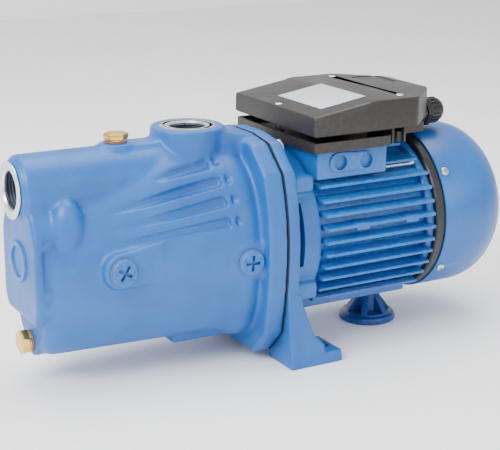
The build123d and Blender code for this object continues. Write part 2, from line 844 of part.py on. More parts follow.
def fan_cover_screws():
    """Four pan head screws that hold the fan cover to the shield."""
    x = shield_rear_x + 0.5 * cover_lap
    shank = upright(1.6, shaft_z + cover_r - 9, shaft_z + cover_r + 0.2, x)
    head = upright(3.8, shaft_z + cover_r + 0.2, shaft_z + cover_r + 2.4, x)
    cross = block(x - 2, x + 2, -0.4, 0.4, shaft_z + cover_r + 1.4, shaft_z + cover_r + 3)
    cross += block(x - 0.4, x + 0.4, -2, 2, shaft_z + cover_r + 1.4, shaft_z + cover_r + 3)
    return at_cover_screws(shank + head - cross)


# ---- rear foot ----
def rear_foot():
    """Moulded support under the motor: round base, post and four webs."""
    part = upright(foot_r, 0, foot_disc, foot_x)
    part = fillet(part.edges().group_by(Axis.Z)[-1], 2.0)
    part += upright(7, foot_disc - 1, foot_top_z, foot_x)
    web = polygon(
        (-foot_r + 4, foot_disc - 1), (foot_r - 4, foot_disc - 1), (9, foot_top_z), (-9, foot_top_z),
    )
    rib = Pos(foot_x, 0, 0) * plate_xz(web, -1.5, 1.5)
    part += rib
    part += Pos(foot_x, 0, 0) * Rot(0, 0, 90) * Pos(-foot_x, 0, 0) * rib
    part -= upright(2.5 + fit, -1, foot_top_z + 1, foot_x)
    return part - upright(5, -1, 5, foot_x)


def rear_foot_screw():
    """Screw from below that holds the rear foot to the motor frame."""
    screw = upright(2.5, 4.8, rail_low_z + 5, foot_x) + upright(4.5, 1.5, 5, foot_x)
    return screw - hexagon_z(4.0, 0, 3.5, foot_x)


# ---- terminal box ----
def base_face(shrink):
    """Plan of the lower half of the box: wide front tray and narrower neck to the gland."""
    half = lid_half - box_inset - shrink
    front = lid_front_x + box_inset + shrink
    neck = base_neck_half - shrink
    side = base_side_x - shrink
    rear = lid_rear_x - box_inset - shrink
    return polygon(
        (front, -half), (side, -half), (side, -neck), (rear, -neck + 4), (rear, neck - 4),
        (side, neck), (side, half), (front, half),
    )


def gland_block(margin):
    """Square boss of the base that carries the cable gland through the lid's rear wall."""
    reach = 0.5 * gland_af + 2.0 + margin
    rear = lid_rear_x - box_inset
    return block(
        rear - gland_boss - margin, rear + 4 * margin, gland_y - reach, gland_y + reach,
        gland_z - reach, gland_z + reach,
    )


def terminal_box_base():
    """Lower half of the terminal box, open at the top."""
    top_z = lid_low_z - box_seal_t
    tray = Pos(0, 0, box_floor_z) * extrude(base_face(0), top_z - box_floor_z)
    tray -= Pos(0, 0, box_floor_z + box_wall) * extrude(base_face(box_wall), 20)
    for x in (base_side_x + 5, base_side_x + 17):
        for side in (-1, 1):
            mid_y = side * 0.5 * (base_neck_half + 59)
            rib = Box(2.2, 65 - base_neck_half, top_z - box_floor_z)
            tray += Pos(x, mid_y, 0.5 * (box_floor_z + top_z)) * rib
    for x, y, seat in lid_screw_seats:
        tray += upright(4.5, box_floor_z, top_z, x, y)
    tray += gland_block(0)
    tray -= disc(gland_r + fit, lid_rear_x - 20, lid_rear_x + 5, gland_y, gland_z)
    for x, y, seat in lid_screw_seats:
        tray -= upright(1.8 + fit, box_floor_z + 2, top_z + 1, x, y)
    tray -= upright(9, box_floor_z - 1, box_floor_z + 5, 80)
    return tray


def lid_face(shrink):
    """Plan of the lid: straight sides and a rear end tapered on both corners."""
    half = lid_half - shrink
    rear = lid_rear_x - shrink
    return polygon(
        (lid_front_x + shrink, -half), (lid_corner_x, -half), (rear, -lid_rear_half + shrink),
        (rear, lid_rear_half - shrink), (lid_corner_x, half), (lid_front_x + shrink, half),
    )


def lid_side(shrink):
    """Side profile of the lid: sloping front, level rear."""
    return polygon(
        (lid_front_x - 5, lid_low_z - 5), (lid_front_x - 5, lid_front_z - shrink - 0.8),
        (lid_break_x, lid_top_z - shrink), (lid_rear_x + 5, lid_top_z - shrink), (lid_rear_x + 5, lid_low_z - 5),
    )


def lid_shape(shrink, low_z):
    """Outer or inner boundary of the lid, from low_z up."""
    plan = Pos(0, 0, low_z) * extrude(lid_face(shrink), 60)
    return plan & plate_xz(lid_side(shrink), -90, 90)


def terminal_box_lid():
    """Upper half of the terminal box."""
    lid = fillet(lid_shape(0, lid_low_z).edges().filter_by(Axis.Z), 4.0)
    lid -= lid_shape(box_wall, lid_low_z - 1)
    for x, y, seat in lid_screw_seats:
        lid += upright(4.5, lid_low_z, lid_top_z + 5, x, y) & lid_shape(1, lid_low_z)
    for x, y, seat in lid_screw_seats:
        lid -= upright(1.8 + fit, lid_low_z - 1, lid_top_z + 5, x, y)
        lid -= upright(4.2, seat, lid_top_z + 5, x, y)
    return lid - gland_block(gap)


def box_gasket():
    """Rubber cord seal between the two halves of the box."""
    top_z = lid_low_z - box_seal_t
    cord = Pos(0, 0, top_z) * extrude(base_face(0.3), box_seal_t)
    cord -= Pos(0, 0, top_z - 1) * extrude(base_face(2.0), box_seal_t + 2)
    return cord - gland_block(gap)


def lid_screws_set():
    """Three screws through the lid."""
    screws = []
    for x, y, seat in lid_screw_seats:
        screw = upright(1.8, box_floor_z + 4, seat, x, y) + upright(3.6, seat, seat + 2.6, x, y)
        screws.append(screw - block(x - 3, x + 3, y - 0.5, y + 0.5, seat + 1.4, seat + 4))
    return screws


def nameplate():
    """Thin plate on the sloping front of the lid."""
    sheet = Box(label_length, label_width, label_t, align=(Align.CENTER, Align.CENTER, Align.MIN))
    centre_x = 0.5 * (lid_front_x + lid_break_x) + 10
    run = (centre_x - lid_front_x + 5) / (lid_break_x - lid_front_x + 5)
    centre_z = lid_front_z - 0.8 + run * (lid_top_z - lid_front_z + 0.8)
    tilt = degrees(atan2(lid_top_z - lid_front_z + 0.8, lid_break_x - lid_front_x + 5))
    return Pos(centre_x, label_y, centre_z) * Rot(0, -tilt, 0) * sheet


def capacitor():
    """Run capacitor lying in the box."""
    centre_z = lid_low_z + 4.0
    body = fillet(disc(11.0, 48, 97, 34, centre_z).edges(), 1.5)
    return body + disc(4, 97, 100, 34, centre_z)


def terminal_block():
    """Moulded terminal strip on the floor of the box."""
    floor = box_floor_z + box_wall
    strip = block(50, 94, -40, -16, floor, floor + 12)
    for i in range(4):
        strip -= upright(3, floor + 6, floor + 13, 55.5 + 11 * i, -28)
    return strip


def terminal_screws():
    """Four brass clamp screws of the terminal strip."""
    floor = box_floor_z + box_wall
    screws = []
    for i in range(4):
        x = 55.5 + 11 * i
        head = upright(3 - fit, floor + 6, floor + 10, x, -28)
        screws.append(head - block(x - 2.5, x + 2.5, -28.4, -27.6, floor + 9, floor + 11))
    return screws


def gland_body():
    """Threaded gland body through the rear of the box."""
    rear = lid_rear_x - box_inset
    body = disc(gland_r, rear - gland_boss, rear + 2, gland_y, gland_z)
    body += hexagon_x(gland_af, rear + 0.2, rear + 6, gland_y, gland_z)
    body += disc(gland_r - 1.2, rear + 6, rear + 14, gland_y, gland_z)
    return body - disc(gland_hole_r + 2, rear - 12, rear + 15, gland_y, gland_z)


def gland_seal():
    """Rubber sleeve that grips the cable."""
    rear = lid_rear_x - box_inset
    return ring(gland_hole_r + 2 - fit, gland_hole_r, rear + 3, rear + 18, gland_y, gland_z)


def gland_nut():
    """Domed clamping nut of the gland."""
    rear = lid_rear_x - box_inset
    nut = hexagon_x(gland_af, rear + 7, rear + 24, gland_y, gland_z)
    nut += disc(0.5 * gland_af - 1, rear + 23, rear + 27, gland_y, gland_z)
    nut -= disc(gland_r - 1.2 + fit, rear, rear + 15, gland_y, gland_z)
    return nut - disc(gland_hole_r + 2 + fit, rear, rear + 40, gland_y, gland_z)


def earth_screw():
    """Brass earth screw on the floor of the box."""
    floor = box_floor_z + box_wall
    screw = upright(3.5, floor, floor + 2.5, 96, 10)
    return screw - block(93, 99, 9.6, 10.4, floor + 1.5, floor + 4)


def venturi_o_ring():
    """Rubber ring behind the venturi collar."""
    collar_x = suction_wall_x + partition_t
    torus = Torus(venturi_end_r + 1.5, 1.0)
    return Pos(collar_x + 5, 0, shaft_z) * Rot(0, 90, 0) * torus


def grouped(piece):
    """One shape from a piece or a list of separate like pieces."""
    return Compound(children=list(piece)) if isinstance(piece, list) else piece


def pieces():
    """Every named piece of the pump."""
    return {
        "pump_body": pump_body(),
        "body_gasket": body_gasket(),
        "body_bolts": body_bolts(),
        "priming_washer": priming_washer(),
        "priming_plug": priming_plug(),
        "drain_washer": drain_washer(),
        "drain_plug": drain_plug(),
        "core_plug_front": core_plug(front_core),
        "core_plug_rear": core_plug(rear_core),
        "core_washers": core_washers(),
        "ejector_nozzle": ejector_nozzle(),
        "venturi_tube": venturi_tube(),
        "venturi_o_ring": venturi_o_ring(),
        "diffuser": diffuser(),
        "impeller": impeller(),
        "impeller_key": impeller_key(),
        "impeller_nut": impeller_nut(),
        "seal_seat": seal_seat(),
        "seal_head": seal_head(),
        "seal_spring": seal_spring(),
        "slinger": slinger(),
        "bracket": bracket(),
        "tie_rods": tie_rods(),
        "shaft": shaft(),
        "front_bearing_inner": inner_race(front_bearing_x),
        "front_bearing_outer": outer_race(front_bearing_x),
        "front_bearing_balls": balls(front_bearing_x),
        "rear_bearing_inner": inner_race(rear_bearing_x),
        "rear_bearing_outer": outer_race(rear_bearing_x),
        "rear_bearing_balls": balls(rear_bearing_x),
        "wave_washer": wave_washer(),
        "motor_frame": motor_frame(),
        "stator_core": stator_core(),
        "stator_windings": stator_windings(),
        "rotor_core": rotor_core(),
        "rotor_end_rings": rotor_end_rings(),
        "rear_shield": rear_shield(),
        "fan": fan(),
        "fan_clip": fan_clip(),
        "fan_cover": fan_cover(),
        "fan_cover_screws": fan_cover_screws(),
        "rear_foot": rear_foot(),
        "rear_foot_screw": rear_foot_screw(),
        "terminal_box_base": terminal_box_base(),
        "box_gasket": box_gasket(),
        "terminal_box_lid": terminal_box_lid(),
        "lid_screws": lid_screws_set(),
        "nameplate": nameplate(),
        "capacitor": capacitor(),
        "terminal_block": terminal_block(),
        "terminal_screws": terminal_screws(),
        "earth_screw": earth_screw(),
        "gland_body": gland_body(),
        "gland_seal": gland_seal(),
        "gland_nut": gland_nut(),
    }


os.makedirs("parts", exist_ok=True)
for name, piece in pieces().items():
    export_step(Pos(-slot_x, 0, 0) * grouped(piece), f"parts/{name}.step")
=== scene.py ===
"""Looks of a self-priming jet pump: cast pump end, finned motor, terminal box and fittings.

Pieces are drawn in millimetres from the joint face of the pump body (X = 0) and the floor (Z = 0),
then moved onto the frame, which is in metres.
"""
import json
from math import copysign, cos, pi, radians, sin, sqrt

import bmesh
import bpy
from mathutils import Matrix, Vector


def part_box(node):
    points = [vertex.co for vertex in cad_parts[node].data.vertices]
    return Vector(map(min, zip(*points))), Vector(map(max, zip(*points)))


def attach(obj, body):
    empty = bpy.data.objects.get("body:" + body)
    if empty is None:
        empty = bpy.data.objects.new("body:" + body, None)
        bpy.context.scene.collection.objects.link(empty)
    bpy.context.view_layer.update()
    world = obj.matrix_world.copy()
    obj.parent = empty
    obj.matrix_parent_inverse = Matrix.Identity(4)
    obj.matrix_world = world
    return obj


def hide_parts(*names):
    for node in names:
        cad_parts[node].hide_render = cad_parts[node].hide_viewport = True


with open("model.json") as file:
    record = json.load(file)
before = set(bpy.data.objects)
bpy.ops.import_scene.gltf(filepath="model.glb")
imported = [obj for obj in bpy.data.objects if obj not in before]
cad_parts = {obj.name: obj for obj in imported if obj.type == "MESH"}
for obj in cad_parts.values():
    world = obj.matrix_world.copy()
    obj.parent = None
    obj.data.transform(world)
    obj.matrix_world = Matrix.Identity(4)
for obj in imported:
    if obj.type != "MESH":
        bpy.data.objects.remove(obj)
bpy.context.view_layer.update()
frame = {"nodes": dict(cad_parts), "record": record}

bl_info = {
    "name": "Jet Pump Looks",
    "version": (1, 0, 0),
    "blender": (4, 5, 0),
    "location": "View3D > Sidebar > Jet Pump",
    "description": "Builds the visible pieces of a self-priming jet pump on its fixed frame",
    "category": "Object",
}

MM = 0.001
JOINT_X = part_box("body_gasket")[0].x / MM


# ---- sizes taken from the frame ----
def span(node, axis):
    """Lowest and highest value of a node along an axis, in drawing millimetres."""
    low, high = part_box(node)
    shift = JOINT_X if axis == "x" else 0.0
    return getattr(low, axis) / MM - shift, getattr(high, axis) / MM - shift


def middle(node, axis):
    """Middle of a node along an axis, in drawing millimetres."""
    low, high = span(node, axis)
    return 0.5 * (low + high)


SHAFT_Z = middle("shaft", "z")
SUCTION_FACE = span("pump_body", "x")[0]
PLATE_FACE = SUCTION_FACE + 5.0
BODY_FRONT = PLATE_FACE + 8.0
FLANGE_T = 17.0
FLANGE_TOP = span("bracket", "z")[1]
PORT_R = 15.15
RECESS_R = 18.2
SUCTION_Z = 160.3
TUBE_R = 27.0
DISCHARGE_X = -53.2
DISCHARGE_TOP = span("pump_body", "z")[1]
PRIMING_X = middle("priming_plug", "x")
PRIMING_Z = span("priming_washer", "z")[0]
DRAIN_Z = middle("drain_plug", "z")
DRAIN_FACE = span("drain_washer", "x")[1]
FRONT_CORE = Vector((middle("core_plug_front", "x"), -54.0, middle("core_plug_front", "z")))
REAR_CORE = Vector((middle("core_plug_rear", "x"), -64.5, middle("core_plug_rear", "z")))
GASKET_T = span("body_gasket", "x")[1]
PLATE_REAR = GASKET_T + 11.0
BELL_REAR = span("motor_frame", "x")[0]
BELL_R = 70.0
FRAME_REAR = span("motor_frame", "x")[1]
FRAME_R = 62.0
FIN_TIP_R = 75.0
FIN_PITCH = 11.0
BOX_FLOOR = span("terminal_box_base", "z")[0]
LID_LOW = span("terminal_box_lid", "z")[0]
LID_TOP = span("terminal_box_lid", "z")[1]
LID_FRONT, LID_REAR = span("terminal_box_lid", "x")
LID_HALF = span("terminal_box_lid", "y")[1]
COVER_REAR = span("fan_cover", "x")[1]
COVER_R = 73.3
SHIELD_REAR = FRAME_REAR + 9.0
GLAND_Y = middle("gland_nut", "y")
GLAND_Z = middle("gland_nut", "z")
GLAND_REAR = span("gland_nut", "x")[1]
FOOT_X = middle("rear_foot", "x")
FOOT_R = 0.5 * (span("rear_foot", "x")[1] - span("rear_foot", "x")[0])
FOOT_TOP = span("rear_foot", "z")[1]
ROD_Y, ROD_RISE = 41.7, 49.7
UPPER_BOLT, LOWER_BOLT = (30.0, 176.0), (57.0, 42.0)
UP = Vector((0, 0, 1))
AHEAD = Vector((1, 0, 0))
ACROSS = Vector((0, 1, 0))


# ---- mesh helpers ----
def facing(direction, origin):
    """Placement that turns a shape drawn about Z to stand along a direction at an origin."""
    turn = Vector(direction).to_track_quat("Z", "Y").to_matrix().to_4x4()
    return Matrix.Translation(origin) @ turn


def round_edges(bm, edges, width, segments=2):
    """Rounds the given edges."""
    bmesh.ops.bevel(
        bm, geom=list(edges), offset=width, offset_type="OFFSET", segments=segments, profile=0.5,
        affect="EDGES", material=-1, clamp_overlap=True,
    )


def sharp_edges(verts, angle=0.6):
    """Edges among the vertices whose two faces meet at more than the angle."""
    edges = {e for v in verts for e in v.link_edges}
    return [e for e in edges if len(e.link_faces) == 2 and e.calc_face_angle(0.0) > angle]


def block(bm, x, y, z, rounding=0.0, segments=2):
    """Box between two values on each axis."""
    size = Matrix.Diagonal((x[1] - x[0], y[1] - y[0], z[1] - z[0], 1))
    centre = Matrix.Translation((0.5 * (x[0] + x[1]), 0.5 * (y[0] + y[1]), 0.5 * (z[0] + z[1])))
    verts = bmesh.ops.create_cube(bm, size=1, matrix=centre @ size)["verts"]
    if rounding:
        round_edges(bm, sharp_edges(verts), rounding, segments)
    return verts


def bar(bm, start, end, radius, end_radius=None, segments=64, rounding=0.0):
    """Round bar or cone between two points."""
    start, end = Vector(start), Vector(end)
    run = end - start
    verts = bmesh.ops.create_cone(
        bm, cap_ends=True, segments=segments, radius1=radius,
        radius2=radius if end_radius is None else end_radius, depth=run.length,
        matrix=facing(run, 0.5 * (start + end)),
    )["verts"]
    if rounding:
        round_edges(bm, sharp_edges(verts, 0.9), rounding)
    return verts


def ball(bm, centre, radius, stretch=(1, 1, 1)):
    """Ball, stretched along the axes if asked."""
    place = Matrix.Translation(centre) @ Matrix.Diagonal((*stretch, 1))
    return bmesh.ops.create_uvsphere(bm, u_segments=24, v_segments=16, radius=radius, matrix=place)["verts"]


def prism(bm, outline, along, rounding=0.0, segments=2):
    """Straight prism on a flat outline of points, as long as the given vector."""
    face = bm.faces.new([bm.verts.new(p) for p in outline])
    made = bmesh.ops.extrude_face_region(bm, geom=[face])["geom"]
    far = [g for g in made if isinstance(g, bmesh.types.BMVert)]
    bmesh.ops.translate(bm, vec=along, verts=far)
    verts = list(face.verts) + far
    faces = {f for v in verts for f in v.link_faces}
    bmesh.ops.recalc_face_normals(bm, faces=list(faces))
    if rounding:
        round_edges(bm, sharp_edges(verts, 0.35), rounding, segments)
    return verts


def turned(bm, profile, place, steps=96, closed=True):
    """Body of revolution: profile points are (distance along the axis, radius)."""
    verts = [bm.verts.new((radius, 0, along)) for along, radius in profile]
    pairs = list(zip(verts, verts[1:]))
    if closed:
        pairs.append((verts[-1], verts[0]))
    edges = [bm.edges.new(pair) for pair in pairs]
    made = bmesh.ops.spin(
        bm, geom=verts + edges, cent=(0, 0, 0), axis=(0, 0, 1), dvec=(0, 0, 0), angle=2 * pi,
        space=Matrix.Identity(4), steps=steps, use_merge=True, use_normal_flip=False, use_duplicate=False,
    )
    whole = linked_to(verts)
    bmesh.ops.remove_doubles(bm, verts=whole, dist=1e-4)
    whole = linked_to([v for v in verts if v.is_valid])
    faces = {f for v in whole for f in v.link_faces}
    bmesh.ops.recalc_face_normals(bm, faces=list(faces))
    bmesh.ops.transform(bm, matrix=place, verts=whole)
    return whole


def linked_to(verts):
    """Every vertex joined to the given ones through edges."""
    seen = set(verts)
    edge_front = list(verts)
    while edge_front:
        vert = edge_front.pop()
        for edge in vert.link_edges:
            other = edge.other_vert(vert)
            if other not in seen:
                seen.add(other)
                edge_front.append(other)
    return list(seen)


def arc(centre, radius, start, end, count):
    """Points on an arc, as (along, across) pairs, with angles in degrees."""
    angles = [radians(start + (end - start) * i / count) for i in range(count + 1)]
    return [(centre[0] + radius * cos(a), centre[1] + radius * sin(a)) for a in angles]


def mesh_object(name, bm):
    """Object in drawing millimetres from a finished bmesh."""
    mesh = bpy.data.meshes.new(name)
    bm.to_mesh(mesh)
    bm.free()
    made = bpy.data.objects.new(name, mesh)
    bpy.context.scene.collection.objects.link(made)
    return made


def bake_modifiers(made):
    """Replaces the mesh of an object by its modified shape."""
    bpy.context.view_layer.update()
    graph = bpy.context.evaluated_depsgraph_get()
    mesh = bpy.data.meshes.new_from_object(made.evaluated_get(graph))
    old = made.data
    made.modifiers.clear()
    made.data = mesh
    bpy.data.meshes.remove(old)


def fuse(made, voxel):
    """Joins the overlapping closed shells of an object into one even skin."""
    modifier = made.modifiers.new("skin", "REMESH")
    modifier.mode = "VOXEL"
    modifier.voxel_size = voxel
    bake_modifiers(made)


def carve(made, draw, operation="DIFFERENCE"):
    """Cuts a shape, drawn by a function into a bmesh, out of an object."""
    bm = bmesh.new()
    draw(bm)
    cutter = mesh_object("cutter", bm)
    modifier = made.modifiers.new("cut", "BOOLEAN")
    modifier.operation = operation
    modifier.solver = "MANIFOLD"
    modifier.object = cutter
    bake_modifiers(made)
    bpy.data.objects.remove(cutter)


def relax(made, rounds, factor=0.5):
    """Softens an object's skin, as sand casting does."""
    bm = bmesh.new()
    bm.from_mesh(made.data)
    for _ in range(rounds):
        bmesh.ops.smooth_vert(bm, verts=bm.verts, factor=factor, use_axis_x=True, use_axis_y=True, use_axis_z=True)
    bm.to_mesh(made.data)
    bm.free()


def settle(made, body, slot, *nodes, finish, crease=35.0):
    """Moves a drawn object onto the frame, gives it its finish and ties it to its body."""
    made.data.transform(Matrix.Diagonal((MM, MM, MM, 1)) @ Matrix.Translation((JOINT_X, 0, 0)))
    made.data.polygons.foreach_set("use_smooth", [True] * len(made.data.polygons))
    made.data.set_sharp_from_angle(angle=radians(crease))
    made.data.materials.clear()
    for material in finish if isinstance(finish, (list, tuple)) else [finish]:
        made.data.materials.append(material)
    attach(made, body)
    if nodes:
        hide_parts(*nodes)
    return made


# ---- shader groups ----
def new_group(name, inputs, outputs):
    """Empty shader group with the given sockets."""
    group = bpy.data.node_groups.new(name, "ShaderNodeTree")
    for label, kind, value in inputs:
        socket = group.interface.new_socket(name=label, in_out="INPUT", socket_type=kind)
        socket.default_value = value
    for label, kind in outputs:
        group.interface.new_socket(name=label, in_out="OUTPUT", socket_type=kind)
    return group, group.nodes.new("NodeGroupInput"), group.nodes.new("NodeGroupOutput")


def math_node(tree, operation, first, second=None, clamp=False):
    """Math node fed by sockets or numbers."""
    node = tree.nodes.new("ShaderNodeMath")
    node.operation = operation
    node.use_clamp = clamp
    for index, value in enumerate((first, second)):
        if value is None:
            continue
        if isinstance(value, (int, float)):
            node.inputs[index].default_value = value
        else:
            tree.links.new(value, node.inputs[index])
    return node.outputs[0]


def noise(tree, scale, detail=2.0, rough=0.5, distortion=0.0, vector=None):
    """Noise value at a scale given by a socket or a number."""
    node = tree.nodes.new("ShaderNodeTexNoise")
    node.inputs["Detail"].default_value = detail
    node.inputs["Roughness"].default_value = rough
    node.inputs["Distortion"].default_value = distortion
    if isinstance(scale, (int, float)):
        node.inputs["Scale"].default_value = scale
    else:
        tree.links.new(scale, node.inputs["Scale"])
    if vector is not None:
        tree.links.new(vector, node.inputs["Vector"])
    return node.outputs["Fac"]


def stretch(tree, value, low, high, to_low=0.0, to_high=1.0):
    """Maps a value from one range to another."""
    node = tree.nodes.new("ShaderNodeMapRange")
    node.clamp = True
    tree.links.new(value, node.inputs["Value"])
    for label, number in (("From Min", low), ("From Max", high), ("To Min", to_low), ("To Max", to_high)):
        node.inputs[label].default_value = number
    return node.outputs["Result"]


def object_place(tree):
    """Object coordinates."""
    return tree.nodes.new("ShaderNodeTexCoord").outputs["Object"]


def grain_group():
    """Sand-cast or moulded grain: fine pits over a soft waviness."""
    group, given, out = new_group(
        "Surface grain",
        [("Vector", "NodeSocketVector", (0, 0, 0)), ("Scale", "NodeSocketFloat", 900.0), ("Waviness", "NodeSocketFloat", 0.4)],
        [("Height", "NodeSocketFloat"), ("Pits", "NodeSocketFloat")],
    )
    fine = noise(group, given.outputs["Scale"], 3.0, 0.6, 0.0, given.outputs["Vector"])
    coarse_scale = math_node(group, "MULTIPLY", given.outputs["Scale"], 0.12)
    coarse = noise(group, coarse_scale, 2.0, 0.5, 0.0, given.outputs["Vector"])
    weighted = math_node(group, "MULTIPLY", coarse, given.outputs["Waviness"])
    height = math_node(group, "ADD", fine, weighted)
    pits = stretch(group, fine, 0.28, 0.42, 1.0, 0.0)
    group.links.new(height, out.inputs["Height"])
    group.links.new(pits, out.inputs["Pits"])
    return group


def wear_and_highlight_group():
    """Mask of rubbed edges and of a painted edge highlight, broken up by noise."""
    group, given, out = new_group(
        "Edge wear",
        [("Vector", "NodeSocketVector", (0, 0, 0)), ("Start", "NodeSocketFloat", 0.53), ("Amount", "NodeSocketFloat", 0.6)],
        [("Mask", "NodeSocketFloat")],
    )
    pointed = group.nodes.new("ShaderNodeNewGeometry").outputs["Pointiness"]
    above = math_node(group, "SUBTRACT", pointed, given.outputs["Start"])
    edge = math_node(group, "MULTIPLY", above, 14.0, clamp=True)
    broken = stretch(group, noise(group, 240.0, 3.0, 0.65, 0.0, given.outputs["Vector"]), 0.35, 0.65)
    # convex edges picked out both as rubbed wear and as a painted edge highlight
    rubbed_and_highlit = math_node(group, "MULTIPLY", edge, broken)
    mask = math_node(group, "MULTIPLY", rubbed_and_highlit, given.outputs["Amount"], clamp=True)
    group.links.new(mask, out.inputs["Mask"])
    return group


def patch_group():
    """Soft uneven patches for colour and gloss."""
    group, given, out = new_group(
        "Uneven patches",
        [("Vector", "NodeSocketVector", (0, 0, 0)), ("Scale", "NodeSocketFloat", 18.0)],
        [("Mask", "NodeSocketFloat")],
    )
    wide = noise(group, given.outputs["Scale"], 4.0, 0.6, 0.3, given.outputs["Vector"])
    group.links.new(stretch(group, wide, 0.3, 0.7), out.inputs["Mask"])
    return group


GROUPS = {}


def placed_group(tree, kind, **values):
    """Places one of the shared groups in a material, on object coordinates."""
    makers = {"grain": grain_group, "wear_and_highlight": wear_and_highlight_group, "patch": patch_group}
    if kind not in GROUPS:
        GROUPS[kind] = makers[kind]()
    node = tree.nodes.new("ShaderNodeGroup")
    node.node_tree = GROUPS[kind]
    tree.links.new(object_place(tree), node.inputs["Vector"])
    for label, value in values.items():
        node.inputs[label].default_value = value
    return node


def mix_colour(tree, mask, first, second):
    """Mix of two colours, each a socket or a colour, by a mask."""
    node = tree.nodes.new("ShaderNodeMix")
    node.data_type = "RGBA"
    tree.links.new(mask, node.inputs["Factor"])
    for label, value in (("A", first), ("B", second)):
        socket = [s for s in node.inputs if s.name == label and s.type == "RGBA"][0]
        if isinstance(value, tuple):
            socket.default_value = (*value, 1.0)
        else:
            tree.links.new(value, socket)
    return [s for s in node.outputs if s.type == "RGBA"][0]


def bare_material(name):
    """New material with its shader, and the tree to build in."""
    material = bpy.data.materials.new(name)
    material.use_nodes = True
    tree = material.node_tree
    return material, tree, tree.nodes["Principled BSDF"]


def finish_material(
    name, colour, shade, rough=(0.35, 0.5), metallic=0.0, grain=900.0, depth=0.00004, waviness=0.4,
    wear_and_highlight=None, wear_and_highlight_amount=0.6, patches=18.0, coat=0.0, pit_shade=0.15, specular=0.5,
):
    """Finish with patches of shade, worn edges lightened with a painted edge highlight, gloss variation and a surface
    grain.
    """
    material, tree, shader = bare_material(name)
    patch = placed_group(tree, "patch", Scale=patches)
    surface = mix_colour(tree, patch.outputs["Mask"], colour, shade)
    texture = placed_group(tree, "grain", Scale=grain, Waviness=waviness)
    pits = math_node(tree, "MULTIPLY", texture.outputs["Pits"], pit_shade)
    surface = mix_colour(tree, pits, surface, tuple(0.45 * c for c in shade))
    # Edges lightened by the mask: rubbed wear, and on the blue paints a painted edge highlight.
    if wear_and_highlight is not None:
        edge = placed_group(tree, "wear_and_highlight", Amount=wear_and_highlight_amount)
        surface = mix_colour(tree, edge.outputs["Mask"], surface, wear_and_highlight)
    tree.links.new(surface, shader.inputs["Base Color"])
    gloss = stretch(tree, patch.outputs["Mask"], 0.0, 1.0, rough[0], rough[1])
    tree.links.new(gloss, shader.inputs["Roughness"])
    bump = tree.nodes.new("ShaderNodeBump")
    bump.inputs["Distance"].default_value = depth
    tree.links.new(texture.outputs["Height"], bump.inputs["Height"])
    tree.links.new(bump.outputs["Normal"], shader.inputs["Normal"])
    shader.inputs["Metallic"].default_value = metallic
    shader.inputs["Coat Weight"].default_value = coat
    shader.inputs["Coat Roughness"].default_value = 0.25
    shader.inputs["Specular IOR Level"].default_value = specular
    return material


def banded_material(name, colour, shade, axis, spacing, rough=0.4, metallic=0.0, depth=0.00005):
    """Finish with fine parallel bands along an axis: turned metal, stacked plates or wound wire."""
    material, tree, shader = bare_material(name)
    split = tree.nodes.new("ShaderNodeSeparateXYZ")
    tree.links.new(object_place(tree), split.inputs[0])
    across = math_node(tree, "MULTIPLY", split.outputs[axis], 2 * pi / (spacing * MM))
    ripple = math_node(tree, "SINE", across)
    band = stretch(tree, ripple, -1.0, 1.0)
    patch = placed_group(tree, "patch", Scale=60.0)
    toned = mix_colour(tree, patch.outputs["Mask"], colour, tuple(0.8 * c for c in colour))
    surface = mix_colour(tree, band, shade, toned)
    tree.links.new(surface, shader.inputs["Base Color"])
    gloss = stretch(tree, patch.outputs["Mask"], 0.0, 1.0, rough - 0.06, rough + 0.1)
    tree.links.new(gloss, shader.inputs["Roughness"])
    bump = tree.nodes.new("ShaderNodeBump")
    bump.inputs["Distance"].default_value = depth
    tree.links.new(band, bump.inputs["Height"])
    tree.links.new(bump.outputs["Normal"], shader.inputs["Normal"])
    shader.inputs["Metallic"].default_value = metallic
    return material


BLUE = (0.004, 0.125, 0.420)
BLUE_DEEP = (0.002, 0.085, 0.340)
# Lighter blue laid on convex edges of the blue paints: a painted edge highlight.
BLUE_HIGHLIGHT = (0.030, 0.230, 0.600)


